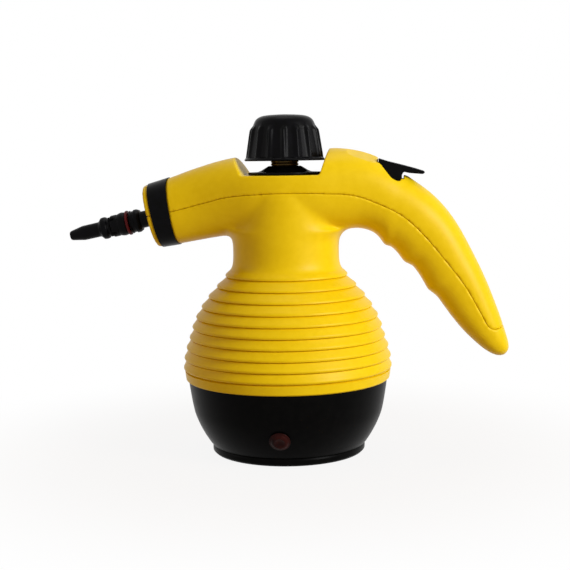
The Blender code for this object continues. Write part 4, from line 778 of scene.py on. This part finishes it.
def hollow_core():
    """The room inside the housing, a wall away from the saddle, the scoop and the lever's pocket."""
    hollow = arm_loft("hollow", *HOLLOW_STATIONS, ARM_STEP * 4, SHELL_WALL, HOLLOW_SIDES)
    inner_neck = [(0, BULB_BOTTOM)]
    for k in range(CORE_STEPS + 1):
        place = BULB_BOTTOM + (BULB_TOP - BULB_BOTTOM) * k / CORE_STEPS
        inner_neck.append((bulb_radius_at(place) - SHELL_WALL - RIB_DEPTH, place))
    inner_neck += [(NECK_RADIUS - SHELL_WALL, BULB_TOP), (NECK_RADIUS - SHELL_WALL, NECK_TOP), (0, NECK_TOP)]
    join(hollow, turn("inner_neck", inner_neck, SMALL_SIDES))
    saddle_wall = slab("saddle_wall", saddle_outline(SHELL_WALL))
    return cut(hollow, saddle_wall, scoop_solid(SHELL_WALL), well_solid(SHELL_WALL))


def pin_hole(reach):
    """The hole for the lever's pin, by its reach to either side."""
    ends = [(PIVOT_X, side * reach, PIVOT_HEIGHT) for side in (-1, 1)]
    return rod("pin_hole", *ends, PIN_RADIUS + SEAT_GAP)


def cut_openings(body):
    """The saddle, the lever's pocket, and the bores for the outlet, the filler, the plunger and the pin."""
    notch = slab("notch", shares_outline(NOTCH_SHARES), NECK_RADIUS + OVERRUN)
    pocket = join(scoop_solid(), well_solid(), notch)
    cut(body, slab("saddle", saddle_outline()), pocket)
    lip = outlet_matrix()
    bore = rod("bore", lip @ Vector((0, 0, -OUTLET_LENGTH)), lip @ Vector((0, 0, OUTLET_LENGTH)), SPOUT_BORE_RADIUS)
    filler_hole = rod("filler_hole", (0, 0, NECK_TOP), (0, 0, HOUSING_TOP), FILLER_OUTER_RADIUS + SEAT_GAP + SEAT_GAP)
    plunger_top = (VALVE_X, 0, WELL_FLOOR + OVERRUN)
    plunger_hole = rod("plunger_hole", (VALVE_X, 0, NECK_TOP), plunger_top, PLUNGER_HEAD_RADIUS + SEAT_GAP)
    cut(body, bore, filler_hole, plunger_hole, pin_hole(TRIGGER_HALF_WIDTH + PIN_SEAT))


def split_shells(body):
    """Cuts the upper shell from the body along one line, and adds the bulb and the strip to what stays."""
    upper = link("upper_shell", body.data.copy())
    boolean(upper, slab("above", seam_outline(SEAM_GAP / 2)), "INTERSECT")
    cut(body, slab("below", seam_outline(-SEAM_GAP / 2)))
    body.name = "lower_shell"
    for shell in (upper, body):
        remesh(shell)
        relax(shell, EDGE_PASSES)
    merged = bmesh.new()
    merged.from_mesh(body.data)
    for part in (ribbed_bulb(), seam_strip()):
        merged.from_mesh(part.data)
        bpy.data.objects.remove(part, do_unlink=True)
    merged.to_mesh(body.data)
    merged.free()
    for shell in (upper, body):
        shade(shell.data)
    return upper


def make_housing():
    """The hollow housing with its openings and the collar in its groove, split in two shells that match."""
    body = housing_top()
    cut(body, hollow_core())
    cut_openings(body)
    first, last = collar_places()
    slack = SEAT_GAP / (COLLAR_WIDTH / (last - first))
    groove_depth = COLLAR_WALL - COLLAR_PROUD + SEAT_GAP
    cut(body, collar_band("groove", OVERRUN, groove_depth, (first - slack, last + slack)))
    upper = split_shells(body)
    stand_in(body, "lower_housing")
    stand_in(upper, "upper_housing")
    collar = collar_band("collar_band", COLLAR_PROUD, COLLAR_WALL - COLLAR_PROUD, (first, last))
    stand_in(collar, "spout_collar")


def stand_in(piece, *nodes):
    """Puts a finer piece in the place of its CAD nodes: same body, same slot, and that slot's material."""
    slot = SLOT_OF[nodes[0]]
    piece.data.materials.clear()
    piece.data.materials.append(MATERIALS[slot])
    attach(piece, BODY_OF[nodes[0]])
    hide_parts(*nodes)


def bowl_radius(share):
    return between(BOWL_SHARES, share) * BASE_RIM_RADIUS


def facing_matrix(height, side):
    """Carries +Z onto the base's outward normal at a height, on the side of -Y or +Y."""
    rise = BULB_BOTTOM - BASE_BOWL_BOTTOM
    share = (height - BASE_BOWL_BOTTOM) / rise
    step = RIB_DEPTH / rise
    slope = (bowl_radius(share + step) - bowl_radius(share - step)) / (RIB_DEPTH + RIB_DEPTH)
    out = Vector((0, side, -slope)).normalized()
    return aimed((0, side * bowl_radius(share), height), out, "X")


def upright(place, low, high, radius):
    """A round bar that stands over or under a place."""
    return rod("bar", (*place.xy, low), (*place.xy, high), radius, BAR_SIDES)


def make_base_shell():
    """The black bowl, with a tongue in the yellow skirt and bosses for the plate's screws."""
    bottom, top = BASE_BOWL_BOTTOM, SKIRT_BOTTOM - SEAT_GAP
    height = BULB_BOTTOM - SEAT_GAP - bottom
    floor = bottom + SHELL_WALL
    tongue = bulb_radius_at(SKIRT_BOTTOM) - RIB_DEPTH - SHELL_WALL - RIB_RELIEF
    last = (top - bottom) / height
    shares = [last * k / BOWL_STEPS for k in range(BOWL_STEPS + 1)]
    edge = [(LEDGE_RADIUS, bottom), (bowl_radius(0) - SEAT_GAP, bottom)]
    outside = [(bowl_radius(share), bottom + share * height) for share in shares[1:]]
    tip, inner = SKIRT_BOTTOM + TONGUE_HEIGHT, tongue - SHELL_WALL / 2
    lip = [(outside[-1][0] - SEAT_GAP, top), (tongue, top), (tongue, tip), (inner, tip), (inner, top - SHELL_WALL)]
    inner_shares = shares[BOWL_FOOT_ROWS:-BOWL_LIP_ROWS][::-1]
    inside = [(bowl_radius(share) - SHELL_WALL, bottom + share * height) for share in inner_shares]
    foot = [(bowl_radius(0) - SHELL_WALL, floor), (LEDGE_RADIUS, floor)]
    shell = turn("base_bowl", edge + outside + lip + inside + foot)
    boss_top = bottom + BOSS_HEIGHT
    for place in ring_at(0, SCREW_CIRCLE_RADIUS, CORNERS, SCREW_TURN):
        join(shell, upright(place, bottom + SHELL_WALL / 2, boss_top, BOSS_RADIUS))
        cut(shell, upright(place, 0, boss_top - SHELL_WALL, SCREW_SHANK_RADIUS + SEAT_GAP))
    for place in ring_at(0, POST_CIRCLE_RADIUS, CORNERS, POST_TURN):
        cut(shell, upright(place, 0, boss_top, POST_RADIUS + SEAT_GAP))
    for height, radius, side in ((INDICATOR_HEIGHT, LENS_RADIUS, -1), (GLAND_HEIGHT, GLAND_RADIUS, 1)):
        bore = rod("bore", (0, 0, -BOSS_HEIGHT), (0, 0, BOSS_HEIGHT), radius + SEAT_GAP)
        cut(shell, move(bore, facing_matrix(height, side)))
    stand_in(shell, "base_shell")


def make_feet(plate):
    """The rubber feet, each in its pocket in the plate."""
    for number in range(1, CORNERS + 1):
        name = f"rubber_foot_{number}"
        low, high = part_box(name)
        centre, radius = (low + high) / 2, (high.x - low.x) / 2
        cut(plate, upright(centre, -OVERRUN, high.z + SEAT_GAP, radius + SEAT_GAP))
        profile = [(0, 0), (radius - SEAT_GAP, 0), (radius, SEAT_GAP), (radius, high.z), (0, high.z)]
        foot = turn(f"foot_pad_{number}", soften(profile, SEAT_GAP), SMALL_SIDES)
        stand_in(move(foot, Matrix.Translation((*centre.xy, 0))), name)


def make_plate_screws(plate, top):
    """The slotted screws, each in its pocket in the plate."""
    for number, place in enumerate(ring_at(0, SCREW_CIRCLE_RADIUS, CORNERS, SCREW_TURN), 1):
        name = f"base_screw_{number}"
        low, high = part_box(name)
        radius, length, head = high.x - place.x, high.z - low.z, SCREW_HEAD_HEIGHT
        cut(plate, upright(place, -OVERRUN, low.z + head + SEAT_GAP, radius + SEAT_GAP))
        cut(plate, upright(place, 0, top + OVERRUN, SCREW_SHANK_RADIUS + SEAT_GAP))
        profile = [
            (0, 0), (radius * SCREW_FACE_SHARE, 0), (radius, head / 2), (radius, head), (SCREW_SHANK_RADIUS, head),
            (SCREW_SHANK_RADIUS, length), (0, length),
        ]
        screw = turn(f"plate_screw_{number}", soften(profile, SEAT_GAP), BAR_SIDES)
        slot = [(-radius, -head), (radius, -head), (radius, head / 2), (-radius, head / 2)]
        cut(screw, slab("slot", slot, radius * SCREW_SLOT_SHARE))
        stand_in(move(screw, Matrix.Translation((*place.xy, low.z))), name)


def make_foot_plate():
    """The foot plate with its posts, and the feet and screws in its pockets."""
    low_corner, high_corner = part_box("base_plate")
    low, edge, post_top = low_corner.z, high_corner.x, high_corner.z
    top = BASE_BOWL_BOTTOM - SEAT_GAP
    step = PLATE_THICKNESS / 2
    rim = [(edge - step, low), (edge, low + step), (edge, top - step), (edge - step / 2, top), (LEDGE_RADIUS, top)]
    rim = soften([(LEDGE_RADIUS / 2, low)] + rim + [(LEDGE_RADIUS - step, low + PLATE_THICKNESS)], step / 3)
    plate = turn("foot_plate", [(0, low)] + rim + [(0, low + PLATE_THICKNESS)])
    for place in ring_at(0, POST_CIRCLE_RADIUS, CORNERS, POST_TURN):
        join(plate, upright(place, low + step, post_top, POST_RADIUS))
    make_feet(plate)
    make_plate_screws(plate, top)
    stand_in(plate, "base_plate")


def make_lens():
    """The indicator's lens: a domed ring round a shallow dimple."""
    rise = FLANGE_SEAT + FLANGE_SEAT
    profile = [
        (0, -LENS_DEPTH), (LENS_RADIUS, -LENS_DEPTH), (LENS_RADIUS, FLANGE_SEAT), (LENS_FLANGE_RADIUS, FLANGE_SEAT),
        (LENS_FLANGE_RADIUS, rise),
    ]
    profile += [(LENS_RADIUS * reach, rise + FLANGE_SEAT * height) for reach, height in LENS_SHARES]
    lens = turn("light_lens", soften(profile, FLANGE_SEAT), SMALL_SIDES * 2)
    stand_in(move(lens, facing_matrix(INDICATOR_HEIGHT, -1)), "indicator_lens")


def make_gland():
    """The rubber bush at the back, with an open bore."""
    bore, thickness = GLAND_BORE_RADIUS, GLAND_FLANGE_THICKNESS
    end = FLANGE_SEAT + thickness
    profile = [
        (bore, -GLAND_LENGTH), (GLAND_RADIUS, -GLAND_LENGTH), (GLAND_RADIUS, FLANGE_SEAT),
        (GLAND_FLANGE_RADIUS, FLANGE_SEAT), (GLAND_FLANGE_RADIUS, end - thickness / 2), (GLAND_RADIUS, end),
        (bore + thickness / 2, end + thickness), (bore, end + thickness),
    ]
    gland = turn("lead_bush", soften(profile, FLANGE_SEAT), SMALL_SIDES * 2)
    stand_in(move(gland, facing_matrix(GLAND_HEIGHT, 1)), "cord_gland")


def make_filler():
    """The brass neck, and the black tray that sweeps up round its mouth."""
    low_corner, high_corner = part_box("filler_neck")
    low, top, collar = low_corner.z, high_corner.z, high_corner.x
    bore, outer = FILLER_BORE_RADIUS, FILLER_OUTER_RADIUS
    profile = [
        (bore, low), (collar, low), (collar, low + OVERRUN), (outer, low + OVERRUN), (outer, top),
        (bore + SEAT_GAP, top), (bore, top - SEAT_GAP),
    ]
    stand_in(turn("brass_neck", soften(profile, SEAT_GAP)), "filler_neck")
    tray_low, tray_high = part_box("filler_funnel")
    base, radius = tray_low.z, tray_high.x
    deck = base + TRAY_THICKNESS
    hole = outer + SEAT_GAP
    mouth = tray_high.z + TRAY_THICKNESS * BOSS_RISE_SHARE
    boss = [(radius * share, deck + (mouth - deck) * rise) for share, rise in BOSS_SHARES]
    profile = [(hole, base), (radius, base), (radius, deck)] + boss + [(hole, top + SEAT_GAP)]
    stand_in(turn("tray", soften(profile, SEAT_GAP), LATHE_SIDES, tray_reach), "filler_funnel")


def tray_reach(radius, angle):
    """Stretches the tray's rim from round to the long shape of the saddle's floor."""
    share = min(max((radius / BOSS_FOOT_RADIUS - 1) * TRAY_STRETCH_RISE, 0), 1)
    return radius * (1 + TRAY_STRETCH_SHARE * share * math.sin(angle) ** 2)


def make_cap_core():
    """The washer, and the brass plug with its grooved head and stem."""
    seal_low, seal_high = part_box("cap_seal")
    hole = PLUG_SHANK_RADIUS + SEAT_GAP
    ring = [(hole, seal_low.z), (seal_high.x, seal_low.z), (seal_high.x, seal_high.z), (hole, seal_high.z)]
    stand_in(turn("washer", soften(ring, SEAT_GAP)), "cap_seal")
    plug_low, plug_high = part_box("cap_plug")
    head, head_low = plug_high.x, seal_high.z + SEAT_GAP
    head_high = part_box("cap_spring")[0].z - SEAT_GAP
    shank, foot, depth = PLUG_SHANK_RADIUS, plug_low.z, SEAT_GAP * 2
    profile = [(0, foot), (shank - SHELL_WALL / 2, foot), (shank, foot + SHELL_WALL / 2)]
    pitch = (head_low - foot - SHELL_WALL) / PLUG_THREADS
    for k in range(PLUG_THREADS):
        start = foot + SHELL_WALL / 2 + pitch * k
        profile += [(shank, start + pitch / 4), (shank - depth, start + pitch / 2)]
        profile += [(shank - depth, start + pitch * 3 / 4), (shank, start + pitch)]
    groove = (head_high - head_low) / PLUG_GROOVES / 2
    profile += [(shank, head_low), (head, head_low)]
    for k in range(PLUG_GROOVES):
        start = head_low + groove * (k + k + 1)
        end = start + groove
        profile += [(head, start), (head - depth, start + SEAT_GAP), (head - depth, end - SEAT_GAP), (head, end)]
    profile += [(PLUG_STEM_RADIUS, head_high), (PLUG_STEM_RADIUS, plug_high.z), (0, plug_high.z)]
    stand_in(turn("plug", soften(profile, SEAT_GAP / 2, steps=2)), "cap_plug")


def make_knob():
    """The cap's knob: a soft crown over flat faces with a ridge at each corner, and a flared rim."""
    low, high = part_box("cap_knob")
    height, radius = high.z - low.z, high.x
    sides = KNOB_RIDGES * KNOB_RIDGE_SIDES
    half = math.pi / KNOB_RIDGES
    rings = []
    for k in range((len(KNOB_SHARES) - 1) * KNOB_ROW_STEPS):
        share, panel, ridge, flat = smooth_row(KNOB_SHARES, k / KNOB_ROW_STEPS)
        ring = []
        for side in range(sides):
            to_middle = math.tau * (side % KNOB_RIDGE_SIDES) / sides - half
            face = 1 + (math.cos(half) / math.cos(to_middle) - 1) * flat
            bump = abs(math.cos(to_middle * KNOB_RIDGES / 2 + math.pi / 2)) ** KNOB_RIDGE_POWER
            reach = radius * (panel * face + (ridge - panel * face) * bump * (ridge > panel))
            ring.append(polar(reach, math.tau * side / sides + KNOB_RIDGE_TURN, low.z + share * height))
        rings.append(ring)
    rings.append([Vector((0, 0, high.z))])
    stem_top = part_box("cap_plug")[1].z + KNOB_PRESS + SEAT_GAP
    hub_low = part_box("cap_spring")[1].z + SEAT_GAP
    bore = PLUG_STEM_RADIUS + SEAT_GAP
    roof = high.z - KNOB_WALL - KNOB_WALL
    shoulder = radius * KNOB_SHARES[KNOB_SHOULDER_ROW][1] - KNOB_WALL
    rim = radius * KNOB_SHARES[KNOB_FACE_ROW][1] - KNOB_WALL / 2
    inside = [
        (0, stem_top), (bore, stem_top), (bore, hub_low), (KNOB_HUB_RADIUS, hub_low), (KNOB_HUB_RADIUS, roof),
        (shoulder - KNOB_WALL, roof), (shoulder, roof - KNOB_WALL * 2), (rim, low.z + KNOB_WALL / 2),
    ]
    rings += [ring_at(place, reach, sides if reach else 1, KNOB_RIDGE_TURN) for reach, place in inside]
    stand_in(loft("knob", rings, ends=False), "cap_knob")


def make_lever():
    """The thumb lever with rounded edges, bored for its pin."""
    lever = slab("lever", shares_outline(TRIGGER_SHARES), TRIGGER_HALF_WIDTH)
    apply_modifier(
        lever, "BEVEL", width=LEVER_ROUND, segments=LEVER_ROUND_STEPS, limit_method="ANGLE", angle_limit=SHARP_ANGLE / 4
    )
    stand_in(cut(lever, pin_hole(NECK_RADIUS)), "trigger")


def along_spout(name, profile):
    """A turned solid on the spout's axis."""
    return move(turn(name, profile), outlet_matrix())


def make_outlet():
    """The fixed outlet with its flange and spigot, and the red ring."""
    flange_low = NOZZLE_LENGTH * FLANGE_START_SHARE
    ring_low = NOZZLE_LENGTH * RED_RING_SHARE
    ring_high = ring_low + RED_RING_WIDTH
    flange_top = ring_low - SEAT_GAP
    spigot_top = NOZZLE_LENGTH * SPIGOT_END_SHARE
    outer = RED_RING_RADIUS
    neck = outer * OUTLET_NECK_SHARE
    chamfer = (flange_top - flange_low) / 4
    rim = outer - chamfer / 4
    waist = rim - chamfer / 3
    middle = (flange_low + flange_top) / 2
    profile = [
        (PIPE_BORE_RADIUS, -OUTLET_LENGTH), (OUTLET_RADIUS, -OUTLET_LENGTH), (OUTLET_RADIUS, -SHELL_WALL / 2),
        (neck, 0), (neck, flange_low), (rim - chamfer / 2, flange_low), (rim, flange_low + chamfer),
        (rim, middle), (waist, middle + SEAT_GAP), (waist, flange_top - chamfer), (rim, flange_top - chamfer / 2),
        (outer - chamfer, flange_top), (SPIGOT_RADIUS, flange_top), (SPIGOT_RADIUS, spigot_top),
        (PIPE_BORE_RADIUS, spigot_top),
    ]
    stand_in(along_spout("steam_outlet", soften(profile, SEAT_GAP)), "outlet_connector")
    socket = SPIGOT_RADIUS + SEAT_GAP
    ring = [(socket, ring_low), (outer, ring_low), (outer, ring_high), (socket, ring_high)]
    stand_in(along_spout("red_ring", soften(ring, RED_RING_WIDTH / 3)), "nozzle_seal")


def make_jet():
    """The jet nozzle: a stepped body with lugs, and a long taper with a rounded tip."""
    start = NOZZLE_LENGTH * RED_RING_SHARE + RED_RING_WIDTH + SEAT_GAP
    socket = SPIGOT_RADIUS + SEAT_GAP
    socket_top = NOZZLE_LENGTH * SPIGOT_END_SHARE + SEAT_GAP
    outside = [(radius * RED_RING_RADIUS, share * NOZZLE_LENGTH) for share, radius in NOZZLE_SHARES]
    outside[0] = (outside[0][0], start)
    profile = [(socket, start)] + outside
    profile += [(NOZZLE_BORE_RADIUS, NOZZLE_LENGTH), (NOZZLE_BORE_RADIUS, socket_top), (socket, socket_top)]
    nozzle = turn("jet", soften(profile, FLANGE_SEAT))
    inner, outer, half = [share * RED_RING_RADIUS for share in LUG_SHARES]
    middle = NOZZLE_LENGTH * NOZZLE_SHARES[LUG_ROW][0] + RED_RING_WIDTH * 2
    for k in range(NOZZLE_LUGS):
        lug = slab("lug", [(inner, -half), (outer, -half), (outer, half), (inner, half)], half / 2)
        apply_modifier(lug, "BEVEL", width=SEAT_GAP, segments=LUG_ROUND_STEPS)
        spin = Matrix.Rotation(math.tau * k / NOZZLE_LUGS + math.pi / 4, 4, "Z")
        join(nozzle, move(lug, spin @ Matrix.Translation((0, 0, middle))))
    stand_in(move(nozzle, outlet_matrix()), "jet_nozzle")


def make_camera():
    """The photograph's view: from in front of the -Y side, a little to the handle's side."""
    place = Vector((math.sin(CAMERA_TURN), -math.cos(CAMERA_TURN), 0)) * CAMERA_DISTANCE
    place.z = CAMERA_HEIGHT
    heading = CAMERA_TURN + math.atan2(AXIS_OFFSET_PIXELS, FOCAL_PIXELS)
    level = Vector((-math.sin(heading), math.cos(heading), 0))
    right = Vector((level.y, -level.x, 0))
    forward = level * math.cos(CAMERA_PITCH) - Vector((0, 0, math.sin(CAMERA_PITCH)))
    up = right.cross(forward)
    rolled_right = right * math.cos(CAMERA_ROLL) - up * math.sin(CAMERA_ROLL)
    rolled_up = up * math.cos(CAMERA_ROLL) + right * math.sin(CAMERA_ROLL)
    data = bpy.data.cameras.new("camera")
    data.sensor_width = SENSOR_WIDTH_MM
    data.lens = FOCAL_PIXELS / IMAGE_PIXELS * SENSOR_WIDTH_MM
    camera = link("camera", data)
    axes = Matrix((rolled_right, rolled_up, -forward)).transposed().to_4x4()
    camera.matrix_world = Matrix.Translation(place) @ axes
    bpy.context.scene.camera = camera


def make_lights():
    for name, place, size, power in LIGHTS:
        data = bpy.data.lights.new(name, "AREA")
        data.shape = "DISK"
        data.size = size
        data.energy = power
        lamp = link(name, data)
        lamp.location = place
        aim = Vector(LIGHT_TARGET) - Vector(place)
        lamp.rotation_euler = aim.to_track_quat("-Z", "Y").to_euler()


def combine(tree, operation, result, *others):
    """One value out of several, by an operation between each and the next."""
    for other in others:
        made = tree.nodes.new("ShaderNodeMath")
        made.operation = operation
        tree.links.new(result, made.inputs[0])
        tree.links.new(other, made.inputs[1])
        result = made.outputs[0]
    return result


def seen_directly(tree):
    """1 for camera, glossy and transmission rays, so that metal shows the white background too."""
    path = tree.nodes.new("ShaderNodeLightPath")
    rays = [path.outputs[f"Is {kind} Ray"] for kind in ("Camera", "Glossy", "Transmission")]
    return combine(tree, "MAXIMUM", *rays)


def make_world():
    """Dim warm light from all sides, which shows as a white background."""
    world = bpy.data.worlds.new("studio")
    bpy.context.scene.world = world
    world.use_nodes = True
    tree = world.node_tree
    colour = node(tree, "ShaderNodeValToRGB", Fac=seen_directly(tree))
    colour.color_ramp.elements[0].color = (*AMBIENT_COLOUR, 1)
    feed(tree.nodes["Background"], Color=colour.outputs["Color"], Strength=BACKGROUND_STRENGTH)


def make_floor():
    """A pale floor that keeps the object's shadow near it and runs out into the white background."""
    half = FLOOR_SIZE / 2
    mesh = bpy.data.meshes.new("floor")
    corners = [(-half, -half, 0), (half, -half, 0), (half, half, 0), (-half, half, 0)]
    mesh.from_pydata(corners, [], [(0, 1, 2, 3)])
    made, tree, shader = new_material("floor")
    colour = colour_between(tree, noise(tree, FLOOR_PATCHES, FLOOR_DETAIL), *FLOOR_COLOURS)
    feed(shader, Base_Color=colour, Roughness=FLOOR_ROUGHNESS)
    length = node(tree, "ShaderNodeVectorMath", Vector=node(tree, "ShaderNodeTexCoord").outputs["Object"])
    length.operation = "LENGTH"
    fade = node(tree, "ShaderNodeMapRange", From_Min=FLOOR_NEAR, From_Max=FLOOR_FAR, To_Min=FLOOR_WHITE_SHARE)
    feed(fade, Value=length.outputs["Value"])
    fade.interpolation_type = "SMOOTHSTEP"
    mix = node(tree, "ShaderNodeMixShader", Fac=combine(tree, "MULTIPLY", fade.outputs["Result"], seen_directly(tree)))
    white = node(tree, "ShaderNodeEmission", Strength=BACKGROUND_STRENGTH)
    for source, target in ((shader, mix.inputs[1]), (white, mix.inputs[2])):
        tree.links.new(source.outputs[0], target)
    feed(tree.nodes["Material Output"], Surface=mix.outputs[0])
    mesh.materials.append(made)
    floor = link("floor", mesh)


def make_spring(name, part, wire, joint, travel):
    """A compression spring of round wire, at its free length."""
    low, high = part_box(part)
    centre_x, radius = (low.x + high.x) / 2, (high.x - low.x) / 2 - wire
    free = high.z - low.z
    steps = SPRING_TURNS * SPRING_TURN_POINTS
    rings = []
    for k in range(steps + 1):
        angle = math.tau * k / SPRING_TURN_POINTS
        place = low.z + wire + (free - wire - wire) * k / steps
        ring = []
        for side in range(SPRING_SIDES):
            around = math.tau * side / SPRING_SIDES
            reach, rise = radius + wire * math.cos(around), wire * math.sin(around)
            ring.append(Vector((centre_x, 0, 0)) + polar(reach, angle, place + rise))
        rings.append(ring)
    piece = loft(name, rings)
    stand_in(piece, part)
    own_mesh(piece)


def dress_frame():
    """Gives each CAD node the material of its record slot."""
    for name, slot in SLOT_OF.items():
        mesh = frame["nodes"][name].data
        mesh.materials.clear()
        mesh.materials.append(MATERIALS[slot])
        shade(mesh)


bpy.context.scene.view_settings.view_transform = "Standard"
make_camera()
make_lights()
make_world()
make_floor()
MATERIALS = {slot: finish(slot, *row) for slot, row in FINISHES.items()}
dress_frame()
make_housing()
make_base_shell()
make_foot_plate()
make_lens()
make_gland()
make_filler()
make_cap_core()
make_knob()
for row in SPRINGS:
    make_spring(*row)
make_lever()
make_outlet()
make_jet()
